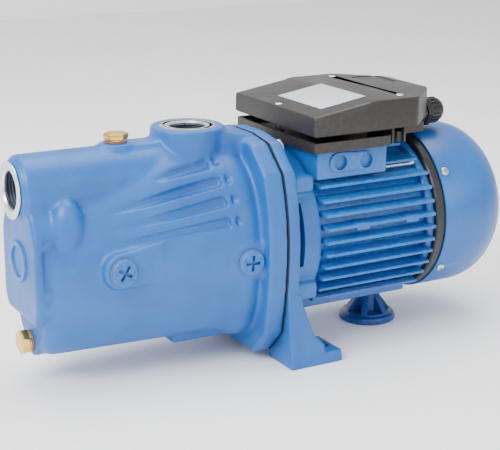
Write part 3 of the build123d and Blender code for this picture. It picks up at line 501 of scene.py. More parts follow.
def make_finishes():
    """Every finish of the pump, by name."""
    # The blue paints lighten their edges with a painted edge highlight.
    fine_paint = dict(shade=BLUE_DEEP, rough=(0.34, 0.46), grain=700.0, wear_and_highlight=BLUE_HIGHLIGHT, coat=0.25)
    return {
        "cast_blue": finish_material(
            "cast_blue", BLUE, BLUE_DEEP, (0.38, 0.52), grain=850.0, depth=0.00022, waviness=0.7,
            wear_and_highlight=BLUE_HIGHLIGHT, wear_and_highlight_amount=0.7, coat=0.15, pit_shade=0.3,
        ),
        "frame_blue": finish_material("frame_blue", BLUE, depth=0.00010, waviness=0.5, wear_and_highlight_amount=0.6, **fine_paint),
        "cover_blue": finish_material("cover_blue", BLUE, depth=0.00006, waviness=0.5, wear_and_highlight_amount=0.4, **fine_paint),
        "foot_blue": finish_material(
            "foot_blue", (0.004, 0.050, 0.24), (0.002, 0.035, 0.18), (0.32, 0.42), grain=1200.0, depth=0.00003,
            wear_and_highlight=(0.02, 0.12, 0.38), wear_and_highlight_amount=0.4,
        ),
        "box_plastic": finish_material(
            "box_plastic", (0.016, 0.013, 0.012), (0.011, 0.009, 0.008), (0.36, 0.5), grain=1400.0, depth=0.00006,
            wear_and_highlight=(0.05, 0.042, 0.038), wear_and_highlight_amount=0.4, pit_shade=0.35,
        ),
        "black_paint": finish_material(
            "black_paint", (0.014, 0.014, 0.016), (0.009, 0.009, 0.010), (0.35, 0.5), grain=900.0, depth=0.00007,
            wear_and_highlight=(0.06, 0.06, 0.065), wear_and_highlight_amount=0.4,
        ),
        "black_plastic": finish_material(
            "black_plastic", (0.013, 0.012, 0.012), (0.009, 0.009, 0.009), (0.28, 0.4), grain=1500.0, depth=0.00003,
            wear_and_highlight=(0.05, 0.05, 0.05), wear_and_highlight_amount=0.3,
        ),
        "rubber": finish_material(
            "rubber", (0.012, 0.012, 0.013), (0.018, 0.018, 0.018), (0.7, 0.85), grain=1600.0, depth=0.00004, coat=0.0,
        ),
        "brass": finish_material(
            "brass", (0.80, 0.52, 0.13), (0.68, 0.42, 0.09), (0.24, 0.38), 1.0, grain=1300.0, depth=0.00003,
            wear_and_highlight=(0.95, 0.74, 0.32), wear_and_highlight_amount=0.6,
        ),
        "zinc": finish_material(
            "zinc", (0.72, 0.70, 0.64), (0.58, 0.58, 0.56), (0.25, 0.42), 1.0, grain=1500.0, depth=0.00002,
            wear_and_highlight=(0.9, 0.9, 0.88), wear_and_highlight_amount=0.5, patches=60.0,
        ),
        "machined": banded_material("machined", (0.86, 0.87, 0.88), (0.70, 0.72, 0.74), "X", 0.35, 0.26, 1.0, 0.00001),
        "thread": finish_material(
            "thread", (0.16, 0.20, 0.26), (0.10, 0.13, 0.18), (0.35, 0.5), 0.9, grain=1300.0, depth=0.00003,
        ),
        "steel": banded_material("steel", (0.60, 0.60, 0.60), (0.50, 0.50, 0.51), "X", 0.4, 0.28, 1.0, 0.00001),
        "lamination": banded_material("lamination", (0.34, 0.34, 0.35), (0.16, 0.16, 0.17), "X", 1.0, 0.42, 0.9),
        "aluminium": finish_material(
            "aluminium", (0.72, 0.73, 0.74), (0.62, 0.63, 0.64), (0.35, 0.5), 1.0, grain=900.0, depth=0.00005,
        ),
        "copper": banded_material("copper", (0.62, 0.24, 0.10), (0.38, 0.12, 0.05), "X", 1.4, 0.32, 0.9, 0.0003),
        "ceramic": finish_material(
            "ceramic", (0.80, 0.78, 0.72), (0.74, 0.72, 0.66), (0.15, 0.25), grain=1800.0, depth=0.00001, coat=0.5,
        ),
        "fibre": finish_material(
            "fibre", (0.40, 0.14, 0.09), (0.30, 0.10, 0.07), (0.75, 0.9), grain=1200.0, depth=0.00008, pit_shade=0.5,
        ),
        "grey_plastic": finish_material(
            "grey_plastic", (0.30, 0.31, 0.32), (0.24, 0.25, 0.26), (0.4, 0.5), grain=1300.0, depth=0.00003,
        ),
        "capacitor_case": finish_material(
            "capacitor_case", (0.55, 0.56, 0.57), (0.48, 0.49, 0.5), (0.3, 0.4), grain=1100.0, depth=0.00002, coat=0.3,
        ),
        "label": finish_material(
            "label", (0.62, 0.66, 0.72), (0.55, 0.60, 0.68), (0.3, 0.42), 0.35, grain=1600.0, depth=0.00001, patches=40.0,
        ),
        "ink": finish_material("ink", (0.05, 0.12, 0.32), (0.08, 0.16, 0.36), (0.4, 0.55), grain=2200.0, depth=0.00001),
    }


FINISH = make_finishes()
SLOT_FINISH = {
    "blue_cast": "cast_blue", "blue_frame": "frame_blue", "blue_cover": "cover_blue", "black_shield": "black_paint",
    "box_plastic": "box_plastic", "foot_plastic": "foot_blue", "gland_plastic": "black_plastic", "brass": "brass",
    "zinc": "zinc", "steel": "steel", "lamination": "lamination", "aluminium": "aluminium", "copper": "copper",
    "ceramic": "ceramic", "rubber": "rubber", "fibre": "fibre", "engineering_plastic": "grey_plastic",
    "label": "label", "capacitor_case": "capacitor_case",
}


# ---- pump body ----
def between(first, last, share):
    """Value part of the way from first to last, held at the ends."""
    return first + (last - first) * max(0.0, min(1.0, share))


def casing_sizes(x):
    """Half width, lowest, highest and widest level of the casing at x."""
    share = (x - BODY_FRONT) / (-14.0 - BODY_FRONT)
    half = between(37.0, 66.0, max(0.0, share) ** 0.9)
    widest = between(92.0, SHAFT_Z, share)
    low = between(25.5, 12.0, (x + 48.0) / 30.0)
    high = between(149.0, 183.0, (x + 175.0) / 90.0)
    squeeze = 1.0
    if x > -34.0:
        squeeze = 1.0 - 0.12 * ((x + 34.0) / 20.0) ** 2
    if x < -182.0:
        squeeze = 1.0 - 0.13 * ((-182.0 - x) / 10.5) ** 2
    return half * squeeze, widest - (widest - low) * squeeze, widest + (high - widest) * squeeze, widest


def casing_point(x, turn):
    """Point of the casing surface at x and an angle in degrees from +Y, upwards."""
    half, low, high, widest = casing_sizes(x)
    across, up = cos(radians(turn)), sin(radians(turn))
    power = 2.15 if up >= 0 else 2.9
    reach = high - widest if up >= 0 else widest - low
    y = half * copysign(abs(across) ** (2 / power), across)
    return Vector((x, y, widest + reach * copysign(abs(up) ** (2 / power), up)))


def casing_outward(x, turn):
    """Outward direction of the casing surface."""
    along = casing_point(x + 1, turn) - casing_point(x - 1, turn)
    around = casing_point(x, turn + 1) - casing_point(x, turn - 1)
    return along.cross(around).normalized() * -1


def draw_casing(bm):
    """Egg-shaped casing, from the front wall into the joint flange."""
    stations = [BODY_FRONT, BODY_FRONT + 1.5, BODY_FRONT + 4, BODY_FRONT + 8, -181.0]
    stations += [-176.0 + 6.0 * i for i in range(24)] + [-35.0, -31.0, -27.0, -22.0, -17.0, -8.0]
    count = 96
    rings = []
    for x in stations:
        verts = bmesh.ops.create_circle(bm, cap_ends=False, radius=1, segments=count)["verts"]
        for index, vert in enumerate(verts):
            vert.co = casing_point(min(x, -17.0), 360.0 * index / count)
            vert.co.x = x
        rings.append(verts)
    for near, far in zip(rings, rings[1:]):
        edges = [e for v in near for e in v.link_edges if e.other_vert(v) in near]
        edges += [e for v in far for e in v.link_edges if e.other_vert(v) in far]
        bmesh.ops.bridge_loops(bm, edges=list(set(edges)))
    for ring in (rings[0], rings[-1]):
        edges = list({e for v in ring for e in v.link_edges if e.is_boundary})
        bmesh.ops.contextual_create(bm, geom=edges)
    bmesh.ops.recalc_face_normals(bm, faces=bm.faces)


def flange_outline(x, grow=0.0):
    """Outline of the joint flange: flat top, sloping shoulders and barrel sides."""
    top, low, half = FLANGE_TOP + grow, 8.0 - grow, 74.0 + grow
    shoulder, base = (63.0 + grow, top - 25.0), (66.0 + grow, low + 21.0)
    bulge = [(half - (half - shoulder[0]) * ((z - SHAFT_Z) / (shoulder[1] - SHAFT_Z)) ** 2, z) for z in (146, 128, 110)]
    lower = [(half - (half - base[0]) * ((SHAFT_Z - z) / (SHAFT_Z - base[1])) ** 2, z) for z in (92, 74, 54)]
    right = [(40.0, top - 4.0), shoulder] + bulge + lower + [base, (46.0, low)]
    crown = [(14.0, top)]
    side = crown + right
    points = side + [(-y, z) for y, z in reversed(side)]
    return [Vector((x, y, z)) for y, z in points]


def draw_body_forms(bm):
    """Solid forms that make up the pump body casting."""
    draw_casing(bm)
    prism(bm, flange_outline(-FLANGE_T), (FLANGE_T, 0, 0))
    bar(bm, (PLATE_FACE, 0, SUCTION_Z), (-8, 0, SUCTION_Z), TUBE_R)
    bar(bm, (SUCTION_FACE + 1, 0, SUCTION_Z), (PLATE_FACE + 2, 0, SUCTION_Z), 23.5)
    plate = [(-30, 57), (-37, 68), (-37, 124), (-27, 146), (27, 146), (37, 124), (37, 68), (30, 57)]
    prism(bm, [Vector((PLATE_FACE, y, z)) for y, z in plate], (16, 0, 0), 2.0)
    bar(bm, (DISCHARGE_X, 0, 120), (DISCHARGE_X, 0, DISCHARGE_TOP), 30.5, segments=96)
    bridge = [(DISCHARGE_X, 150), (DISCHARGE_X, 195), (-30, 193.5), (-1, 187), (-1, 150)]
    prism(bm, [Vector((x, -26, z)) for x, z in bridge], (0, 52, 0), 3.0)
    bar(bm, (PRIMING_X, 0, 160), (PRIMING_X, 0, PRIMING_Z), 14.0)
    block(bm, (PRIMING_X, -66), (-12, 12), (165, PRIMING_Z - 0.7), 2.0)
    bar(bm, (DRAIN_FACE, 0, DRAIN_Z), (-176, 0, DRAIN_Z), 12.5)
    block(bm, (-83, -35), (-30, 30), (21.5, 37.5), 3.0)
    front_pad = arc((FRONT_CORE.x, FRONT_CORE.z), 15.0, 262, 82, 14) + [(-100, 118), (-100, 86)]
    prism(bm, [Vector((x, FRONT_CORE.y, z)) for x, z in front_pad], (0, 26, 0), 1.0)
    rear_pad = arc((REAR_CORE.x, REAR_CORE.z), 15.0, 270, 90, 14) + [(-6, REAR_CORE.z + 15), (-6, REAR_CORE.z - 15)]
    prism(bm, [Vector((x, REAR_CORE.y, z)) for x, z in rear_pad], (0, 26, 0), 1.0)
    ball(bm, (-171, -27, 130), 15, (0.95, 0.95, 1.7))
    ball(bm, (-171, 27, 130), 15, (0.95, 0.95, 1.7))


FLUTES = [((-98, 127), (-47, 121)), ((-140, 138), (-42, 135.5)), ((-140, 151.5), (-41, 149)), ((-144, 161.5), (-40, 162))]


def draw_flutes(bm):
    """Shallow channels on both sides of the casing, deepest at their rounded rear ends."""
    for start, end in FLUTES:
        for mirror in (False, True):
            ends = []
            for (x, turn), radius, depth in ((start, 3.0, 0.6), (end, 5.5, 4.4)):
                turn = 180.0 - turn if mirror else turn
                surface = casing_point(x, turn)
                ends.append(surface + casing_outward(x, turn) * (radius - depth))
            bar(bm, ends[0], ends[1], 3.0, 5.5, 24)
            ball(bm, ends[1], 5.5)


def draw_side_recess(bm):
    """Upright grooves behind the front plate."""
    for side in (-1, 1):
        bar(bm, (-190, side * 42, 80), (-190, side * 39.5, 124), 7.0, 6.0, 24)
        ball(bm, (-190, side * 39.5, 124), 6.0)
        ball(bm, (-190, side * 42, 80), 7.0, (1, 1, 1.4))


def draw_body_bores(bm):
    """Machined openings of the pump body."""
    bar(bm, (SUCTION_FACE - 5, 0, SUCTION_Z), (SUCTION_FACE + 46, 0, SUCTION_Z), RECESS_R, segments=96)
    bar(bm, (DISCHARGE_X, 0, DISCHARGE_TOP - 34), (DISCHARGE_X, 0, DISCHARGE_TOP + 5), RECESS_R, segments=96)
    bar(bm, (PRIMING_X, 0, PRIMING_Z - 24), (PRIMING_X, 0, PRIMING_Z + 5), 8.4)
    bar(bm, (DRAIN_FACE - 5, 0, DRAIN_Z), (DRAIN_FACE + 22, 0, DRAIN_Z), 6.6)
    for core in (FRONT_CORE, REAR_CORE):
        bar(bm, core + Vector((0, -10, 0)), core + Vector((0, 0, 0)), 11.4)
        bar(bm, core + Vector((0, -10, 0)), core + Vector((0, 8, 0)), 9.1)


def draw_front_mark(bm):
    """Plain raised ring on the front plate."""
    ring = [(0.0, 17.0), (-1.8, 16.2), (-1.8, 12.8), (0.0, 12.0), (3.0, 12.0), (3.0, 17.0)]
    turned(bm, ring, facing(AHEAD, (PLATE_FACE, 0, 103)), 64)


def pump_body():
    """Cast pump body in one skin, with its grooves and machined openings."""
    bm = bmesh.new()
    draw_body_forms(bm)
    made = mesh_object("pump_body_casting", bm)
    fuse(made, 1.5)
    relax(made, 3)
    carve(made, draw_flutes)
    carve(made, draw_side_recess)
    fuse(made, 1.3)
    relax(made, 4)
    carve(made, draw_body_bores)
    settle(made, "pump", "blue_cast", "pump_body", finish=FINISH["cast_blue"])
    bm = bmesh.new()
    draw_front_mark(bm)
    settle(mesh_object("front_ring", bm), "pump", "blue_cast", "pump_body", finish=FINISH["cast_blue"])


def draw_port(bm, mouth, direction):
    """Machined rim and threaded bore of a port, facing along a direction."""
    place = facing(direction, mouth)
    rim = [(0.3, 22.6), (0.3, PORT_R + 1.2), (-1.2, PORT_R), (-3.0, PORT_R), (-3.0, RECESS_R + 0.2), (-0.4, RECESS_R + 0.2), (-0.4, 22.6)]
    turned(bm, rim, place, 96)


def draw_thread(bm, mouth, direction, length):
    """Helical thread inside a port, with a closed floor behind it."""
    pitch, steps = 2.3, 48
    turns = int(length / pitch)
    place = facing(direction, mouth)
    tooth = [(-1.5, PORT_R + 2.2), (-1.5 - 0.5 * pitch, PORT_R + 0.7), (-1.5 - pitch, PORT_R + 2.2)]
    verts = [bm.verts.new((radius, 0, along)) for along, radius in tooth]
    edges = [bm.edges.new(pair) for pair in zip(verts, verts[1:])]
    bmesh.ops.spin(
        bm, geom=verts + edges, cent=(0, 0, 0), axis=(0, 0, 1), dvec=(0, 0, -pitch / steps),
        angle=2 * pi * turns, space=Matrix.Identity(4), steps=steps * turns, use_merge=False,
        use_normal_flip=False, use_duplicate=False,
    )
    bmesh.ops.remove_doubles(bm, verts=bm.verts, dist=0.01)
    low = -1.5 - pitch * (turns + 1)
    turned(bm, [(low + 1, RECESS_R), (low + 1, 12.0), (low - 12, 10.5), (low - 12, 0.0), (low - 13, 0.0), (low - 13, RECESS_R)], Matrix.Identity(4), 64)
    bmesh.ops.transform(bm, matrix=place, verts=bm.verts)
    bmesh.ops.recalc_face_normals(bm, faces=bm.faces)


def ports():
    """Rims and threads of the suction and discharge ports."""
    places = {
        "suction": (Vector((SUCTION_FACE, 0, SUCTION_Z)), -AHEAD, 26.0),
        "discharge": (Vector((DISCHARGE_X, 0, DISCHARGE_TOP - 0.3)), UP, 20.0),
    }
    for name, (mouth, direction, length) in places.items():
        bm = bmesh.new()
        draw_port(bm, mouth, direction)
        settle(mesh_object(f"{name}_port_rim", bm), "pump", "blue_cast", finish=FINISH["machined"])
        bm = bmesh.new()
        draw_thread(bm, mouth, direction, length)
        settle(mesh_object(f"{name}_port_thread", bm), "pump", "blue_cast", finish=FINISH["thread"], crease=25.0)


# ---- screwed fittings ----
def hexagon(bm, start, end, across_flats, chamfer=0.8, turn=0.0):
    """Hexagonal head between two points, with its corners rounded off."""
    start, end = Vector(start), Vector(end)
    run = end - start
    place = facing(run, 0.5 * (start + end)) @ Matrix.Rotation(radians(turn), 4, "Z")
    corner = across_flats / sqrt(3)
    verts = bmesh.ops.create_cone(
        bm, cap_ends=True, segments=6, radius1=corner, radius2=corner, depth=run.length, matrix=place,
    )["verts"]
    round_edges(bm, sharp_edges(verts), chamfer, 3)
    return verts


def threaded_shank(bm, start, end, radius, pitch=1.3):
    """Screw shank with thread ridges, as a stack of narrow crests."""
    start, end = Vector(start), Vector(end)
    length = (end - start).length
    profile = [(0.0, 0.0), (0.0, radius - 0.8)]
    crest = 0.3
    while crest + pitch < length:
        profile += [(crest, radius - 0.8), (crest + 0.5 * pitch, radius)]
        crest += pitch
    profile += [(length, radius - 0.8), (length, 0.0)]
    turned(bm, profile, facing(end - start, start), 40, closed=False)


def plug(name, node, body, seat, outward, shank_r, head, turn):
    """Brass hexagon plug with a collar and a threaded shank."""
    seat = Vector(seat)
    bm = bmesh.new()
    turned(bm, [(0, 0), (0, 9.0), (0.9, 9.3), (1.3, 8.8), (1.3, 0)], facing(outward, seat), 48, closed=False)
    hexagon(bm, seat + outward * 1.2, seat + outward * head, 17.6, 0.9, turn)
    turned(
        bm, [(head - 0.4, 0), (head - 0.4, 6.2), (head + 0.05, 5.8), (head + 0.05, 0)], facing(outward, seat), 40, closed=False,
    )
    threaded_shank(bm, seat + outward * 0.2, seat - outward * 9.0, shank_r)
    settle(mesh_object(name, bm), body, "brass", node, finish=FINISH["brass"], crease=30.0)


def core_plug(name, node, core, turn):
    """Round painted plug with a cross slot and a ring of small pips."""
    out = -ACROSS
    bm = bmesh.new()
    rim = [(0.0, 0.0), (0.0, 10.7), (2.2, 10.7), (3.0, 9.9), (3.2, 0.0)]
    turned(bm, rim, facing(out, core + out * 0.9), 64, closed=False)
    made = mesh_object(name, bm)

    def draw_cross(cutter):
        corners = []
        for quarter in range(4):
            for along, up in ((6.4, -1.25), (6.4, 1.25), (1.25, 1.25)):
                spin = Matrix.Rotation(radians(turn + 90 * quarter), 3, "Y")
                corners.append(core + spin @ Vector((along, 0, -up)) + out * 1.6)
        prism(cutter, corners, out * 5.0)

    carve(made, draw_cross)
    bm = bmesh.new()
    bm.from_mesh(made.data)
    threaded_shank(bm, core + out * 1.0, core - out * 5.5, 9.0)
    for step in range(6):
        angle = radians(turn + 30 + 60 * step)
        pip = core + out * 4.05 + Vector((7.4 * cos(angle), 0, 7.4 * sin(angle)))
        ball(bm, pip, 0.75, (1, 0.5, 1))
    bm.to_mesh(made.data)
    bm.free()
    settle(made, "pump", "blue_cast", node, finish=FINISH["cast_blue"], crease=30.0)


def washers():
    """Sealing washers under the plugs."""
    places = (
        ("priming_seal_ring", "priming_washer", "priming_seal", (PRIMING_X, 0, PRIMING_Z), UP, 8.35),
        ("drain_seal_ring", "drain_washer", "drain_seal", (DRAIN_FACE, 0, DRAIN_Z), -AHEAD, 6.55),
    )
    for name, node, body, place, out, hole in places:
        bm = bmesh.new()
        section = [(0.1, hole), (0.1, 8.7), (0.75, 9.1), (1.4, 8.7), (1.4, hole)]
        turned(bm, section, facing(out, place), 64)
        settle(mesh_object(name, bm), body, "fibre", node, finish=FINISH["fibre"])


def body_screws():
    """Hexagon bolts behind the joint flange and the ends of the long motor studs."""
    bm = bmesh.new()
    for side in (-1, 1):
        for y, z in (UPPER_BOLT, LOWER_BOLT):
            place = Vector((PLATE_REAR, side * y, z))
            turned(bm, [(0, 0), (0, 7.2), (1.0, 7.2), (1.0, 0)], facing(AHEAD, place), 40, closed=False)
            hexagon(bm, place + AHEAD * 0.9, place + AHEAD * 5.3, 12.8, 0.6)
            bar(bm, place - AHEAD * 24, place, 4.0, segments=32)
    settle(mesh_object("flange_bolts", bm), "pump", "zinc", "body_bolts", finish=FINISH["zinc"])
    bm = bmesh.new()
    for side in (-1, 1):
        for rise in (-ROD_RISE, ROD_RISE):
            place = Vector((SHIELD_REAR, side * ROD_Y, SHAFT_Z + rise))
            hexagon(bm, place + AHEAD * 0.1, place + AHEAD * 4.0, 7.9, 0.4)
            threaded_shank(bm, place + AHEAD * 4.9, place - AHEAD * 8, 2.5, 0.8)
            bar(bm, (PLATE_REAR - 1, place.y, place.z), (SHIELD_REAR - 7, place.y, place.z), 2.3, segments=24)
    settle(mesh_object("motor_studs", bm), "pump", "zinc", "tie_rods", finish=FINISH["zinc"])


# ---- bracket ----
def draw_leg(bm, side):
    """One leg: upright at the joint, sloping at the back, with a rounded toe."""
    outline = [(GASKET_T, 0), (50.4, 0), (50.4, 10), (34, 10), (34, 17.5), (25, 25.5), (PLATE_REAR, 64), (GASKET_T, 64)]
    points = [Vector((x, 40, z)) for x, z in outline]
    verts = prism(bm, points, (0, 40.5, 0))
    for vert in verts:
        share = vert.co.z / 64
        vert.co.y += share * (6 if vert.co.y < 50 else -8)
        if side < 0:
            vert.co.y *= -1
    toe = [e for v in verts for e in v.link_edges if all(abs(w.co.x - 50.4) < 0.1 for w in e.verts)]
    round_edges(bm, {e for e in toe if abs(e.verts[0].co.z - e.verts[1].co.z) > 5}, 7.0, 5)
    bmesh.ops.recalc_face_normals(bm, faces=bm.faces)


def draw_bracket_forms(bm):
    """Solid forms that make up the bracket casting."""
    prism(bm, flange_outline(GASKET_T), (PLATE_REAR - GASKET_T, 0, 0))
    for side in (-1, 1):
        draw_leg(bm, side)
        rib = [(PLATE_REAR - 2, 20), (46, 8), (46, 2), (PLATE_REAR - 2, 2)]
        prism(bm, [Vector((x, side * 43, z)) for x, z in rib], (0, side * 6, 0))
        block(bm, (PLATE_REAR - 2, BELL_REAR - 4), sorted((side * 37, side * 62)), (144, 158), 2.0)
        block(bm, (PLATE_REAR - 2, BELL_REAR - 2), sorted((side * 42, side * 67)), (54, 69), 2.0)
    shell = [(PLATE_REAR - 2, BELL_R), (BELL_REAR, BELL_R), (BELL_REAR, BELL_R - 8), (PLATE_REAR - 2, BELL_R - 8)]
    on_shaft = facing(AHEAD, (0, 0, SHAFT_Z))
    turned(bm, shell, on_shaft, 96)
    turned(bm, [(23, 9), (23, BELL_R - 2), (27, BELL_R - 2), (27, 26), (36.8, 26), (36.8, 20.1), (25, 20.1), (25, 9)], on_shaft, 96)


def draw_bracket_cuts(bm):
    """Slots through the toes, side windows and the hole for the shaft."""
    for side in (-1, 1):
        for offset in (-2.5, 2.5):
            bar(bm, (42, side * 61 + offset, -3), (42, side * 61 + offset, 24), 4.5, segments=40)
        block(bm, (39, 45), sorted((side * 61 - 2.5, side * 61 + 2.5)), (-3, 24))
        block(bm, (PLATE_REAR + 1, PLATE_REAR + 6), sorted((side * 52, side * 80)), (84, 136))
    bar(bm, (-3, 0, SHAFT_Z), (24, 0, SHAFT_Z), 14.0)


def bracket():
    """Cast bracket with the bell that holds the motor, in one skin."""
    bm = bmesh.new()
    draw_bracket_forms(bm)
    made = mesh_object("bracket_casting", bm)
    fuse(made, 1.4)
    relax(made, 4)
    carve(made, draw_bracket_cuts)
    settle(made, "pump", "blue_cast", "bracket", finish=FINISH["cast_blue"])


def body_gasket():
    """Dark joint sheet that shows as a thin line round the flange."""
    bm = bmesh.new()
    prism(bm, flange_outline(0.05, -0.4), (GASKET_T - 0.1, 0, 0))
    settle(mesh_object("joint_sheet", bm), "pump", "fibre", "body_gasket", finish=FINISH["rubber"])


# ---- motor ----
def draw_fin(bm, height, side):
    """One cast cooling fin, thinner and rounded at its tip."""
    reach = sqrt(FIN_TIP_R ** 2 - height ** 2)
    root = sqrt(max(FRAME_R ** 2 - height ** 2, 0.0)) - 6.0
    root = max(root, 8.0)
    level = SHAFT_Z + height
    section = [(root, level - 2.3), (reach, level - 1.35), (reach, level + 1.35), (root, level + 2.3)]
    front, rear = BELL_REAR + 3.0, FRAME_REAR - 3.0
    if height > 50:
        rear -= 12.0 if height > 60 else 5.0
    verts = prism(bm, [Vector((front, side * y, z)) for y, z in section], (rear - front, 0, 0))
    tips = [e for v in verts for e in v.link_edges if all(abs(abs(w.co.y) - reach) < 0.1 for w in e.verts)]
    round_edges(bm, set(tips), 1.2, 3)


def draw_pedestal(bm):
    """Seat of the terminal box with a raised pad for each pair of conduit openings."""
    block(bm, (36, 105), (-58, 58), (SHAFT_Z + 49.5, BOX_FLOOR - 0.2), 2.0, 3)
    for side in (-1, 1):
        pad = arc((56, 165), 8.8, 90, 230, 8) + arc((82, 163.6), 8.8, 310, 450, 8)
        out = Vector((0, side * 2.2, 0))
        verts = prism(bm, [Vector((x, side * 57.4, z)) for x, z in pad], out)
        outer = [e for v in verts for e in v.link_edges if all(abs(abs(w.co.y) - 59.6) < 0.05 for w in e.verts)]
        round_edges(bm, set(outer), 0.7, 2)


def draw_knock_outs(bm):
    """Blind round conduit openings in both sides of the pedestal."""
    for side in (-1, 1):
        for x, z in ((57.5, 165.0), (83.1, 164.2)):
            bar(bm, (x, side * 56.6, z), (x, side * 63, z), 6.3, segments=48)


def motor_frame():
    """Finned motor frame with its pedestal, foot rail, pads and end rings."""
    bm = bmesh.new()
    draw_pedestal(bm)
    made = mesh_object("motor_frame_casting", bm)
    carve(made, draw_knock_outs)
    bm = bmesh.new()
    bm.from_mesh(made.data)
    on_shaft = facing(AHEAD, (0, 0, SHAFT_Z))
    turned(
        bm, [(BELL_REAR - 0.4, 56.5), (BELL_REAR - 0.4, FRAME_R), (FRAME_REAR, FRAME_R), (FRAME_REAR, 56.5)], on_shaft, 144,
    )
    ring = [(143, 60), (143.5, 66.5), (144.5, 67.5), (FRAME_REAR - 0.1, 67.5), (FRAME_REAR - 0.1, 60)]
    turned(bm, ring, on_shaft, 144)
    for side in (-1, 1):
        for step in range(-5, 7):
            draw_fin(bm, step * FIN_PITCH, side)
    for x in (72.5, 122.5):
        block(bm, (x - 6.5, x + 6.5), (-FIN_TIP_R + 0.4, -60), (SHAFT_Z + 7.5, SHAFT_Z + 13.5), 1.2, 3)
    block(bm, (BELL_REAR, FRAME_REAR - 4), (-33, 33), (33.5, 44), 1.6, 3)
    block(bm, (FOOT_X - 13, FOOT_X + 13), (-13, 13), (FOOT_TOP, 36), 1.2, 2)
    bm.to_mesh(made.data)
    bm.free()
    settle(made, "pump", "blue_frame", "motor_frame", finish=FINISH["frame_blue"], crease=40.0)


def rear_shield():
    """Black end shield: outer rim, spigot under the fan cover, web and bearing housing."""
    bm = bmesh.new()
    rim = [
        (FRAME_REAR - 4, 52), (FRAME_REAR - 4, 56.4), (FRAME_REAR + 0.1, 56.4), (FRAME_REAR + 0.1, 70.8),
        (FRAME_REAR + 1.3, 72), (SHIELD_REAR - 1.3, 72), (SHIELD_REAR - 0.2, 71.2), (SHIELD_REAR + 11.6, 71.2),
        (SHIELD_REAR + 11.9, 69.9), (SHIELD_REAR, 69.9), (SHIELD_REAR, 8), (FRAME_REAR + 7, 8), (FRAME_REAR + 6, 20.1),
        (143, 20.1), (143, 25), (FRAME_REAR + 3, 25), (FRAME_REAR + 3, 52),
    ]
    turned(bm, rim, facing(AHEAD, (0, 0, SHAFT_Z)), 144)
    for x in (109, 121):
        pass
    settle(mesh_object("rear_end_shield", bm), "pump", "black_shield", "rear_shield", finish=FINISH["black_paint"])


def at_cover_screws():
    """Directions from the shaft to the four fan cover screws."""
    return [Vector((0, sin(radians(a)), cos(radians(a)))) for a in (54, 126, -126, -54)]


def fan_cover():
    """Drawn sheet cover with a rounded back, a rolled front edge and a ring of air slots."""
    bend = 42.0
    outer = [(SHIELD_REAR + 0.4, COVER_R - 0.3), (SHIELD_REAR + 1.0, COVER_R)] + [(COVER_REAR - bend, COVER_R)]
    outer += arc((COVER_REAR - bend, COVER_R - bend), bend, 90, 0, 14)[1:] + [(COVER_REAR, 0)]
    wall = 1.7
    inner = [(COVER_REAR - wall, 0)] + arc((COVER_REAR - bend, COVER_R - bend), bend - wall, 0, 90, 14)
    inner += [(SHIELD_REAR + 0.4, COVER_R - wall)]
    bm = bmesh.new()
    turned(bm, outer + inner, facing(AHEAD, (0, 0, SHAFT_Z)), 144)
    made = mesh_object("fan_cover_shell", bm)

    def draw_openings(cutter):
        for step in range(16):
            turn = radians(22.5 * step)
            out = Vector((0, sin(turn), cos(turn)))
            near, far = out * 12.0, out * 43.0
            base = Vector((COVER_REAR - 14, 0, SHAFT_Z))
            wide = out.cross(AHEAD) * 2.0
            outline = [base + near - wide, base + far - wide, base + far + wide, base + near + wide]
            prism(cutter, outline, (18, 0, 0))
        for out in at_cover_screws():
            screw = Vector((SHIELD_REAR + 6, 0, SHAFT_Z))
            bar(cutter, screw + out * 66, screw + out * 76, 2.1, segments=32)

    carve(made, draw_openings)
    settle(made, "pump", "blue_cover", "fan_cover", finish=FINISH["cover_blue"], crease=30.0)


def cross_screw(bm, seat, out, head_r, head, shank_r, length, turn=0.0):
    """Pan head screw; its cross recess is cut with cross_recess."""
    rim = [(0.0, 0.0), (0.0, head_r), (0.35 * head, head_r)]
    rim += [(head * (0.35 + 0.65 * sin(a)), head_r * (0.25 + 0.75 * cos(a))) for a in (0.5, 1.0, 1.5)]
    rim += [(head, 0.0)]
    turned(bm, rim, facing(out, seat), 40, closed=False)
    threaded_shank(bm, seat + out * 0.1, seat - out * length, shank_r, 0.9)


def cross_recess(bm, seat, out, head, reach, turn=0.0):
    """Cross-shaped cutter in the top of a screw head."""
    place = facing(out, seat + out * head) @ Matrix.Rotation(radians(turn), 4, "Z")
    for x, y in ((reach, 0.28 * reach), (0.28 * reach, reach)):
        verts = block(bm, (-x, x), (-y, y), (-0.55 * head, 1.0))
        bmesh.ops.transform(bm, matrix=place, verts=verts)


def fan_cover_screws():
    """Four bright screws round the front edge of the fan cover."""
    seats = [Vector((SHIELD_REAR + 6, 0, SHAFT_Z)) + out * (COVER_R + 0.05) for out in at_cover_screws()]
    bm = bmesh.new()
    for seat, out in zip(seats, at_cover_screws()):
        cross_screw(bm, seat, out, 3.9, 2.3, 1.6, 8.5)
    made = mesh_object("cover_screws", bm)

    def draw_recesses(cutter):
        for seat, out in zip(seats, at_cover_screws()):
            cross_recess(cutter, seat, out, 2.3, 2.2, 35)

    carve(made, draw_recesses)
    settle(made, "pump", "zinc", "fan_cover_screws", finish=FINISH["zinc"], crease=30.0)


def fan():
    """Moulded fan with a dished hub plate and eight radial blades."""
    bm = bmesh.new()
    on_shaft = facing(AHEAD, (0, 0, SHAFT_Z))
    turned(bm, [(172, 7.1), (172, 40), (174, 40), (174.5, 13.5), (194, 12.5), (194, 7.1)], on_shaft, 72)
    for step in range(8):
        verts = block(bm, (172, 198), (-1, 1), (11, 62))
        turn = Matrix.Translation((0, 0, SHAFT_Z)) @ Matrix.Rotation(radians(45 * step), 4, "X")
        bmesh.ops.transform(bm, matrix=turn, verts=verts)
        round_edges(bm, sharp_edges(verts), 0.5)
    settle(mesh_object("fan_wheel", bm), "rotor", "engineering_plastic", "fan", finish=FINISH["black_plastic"])


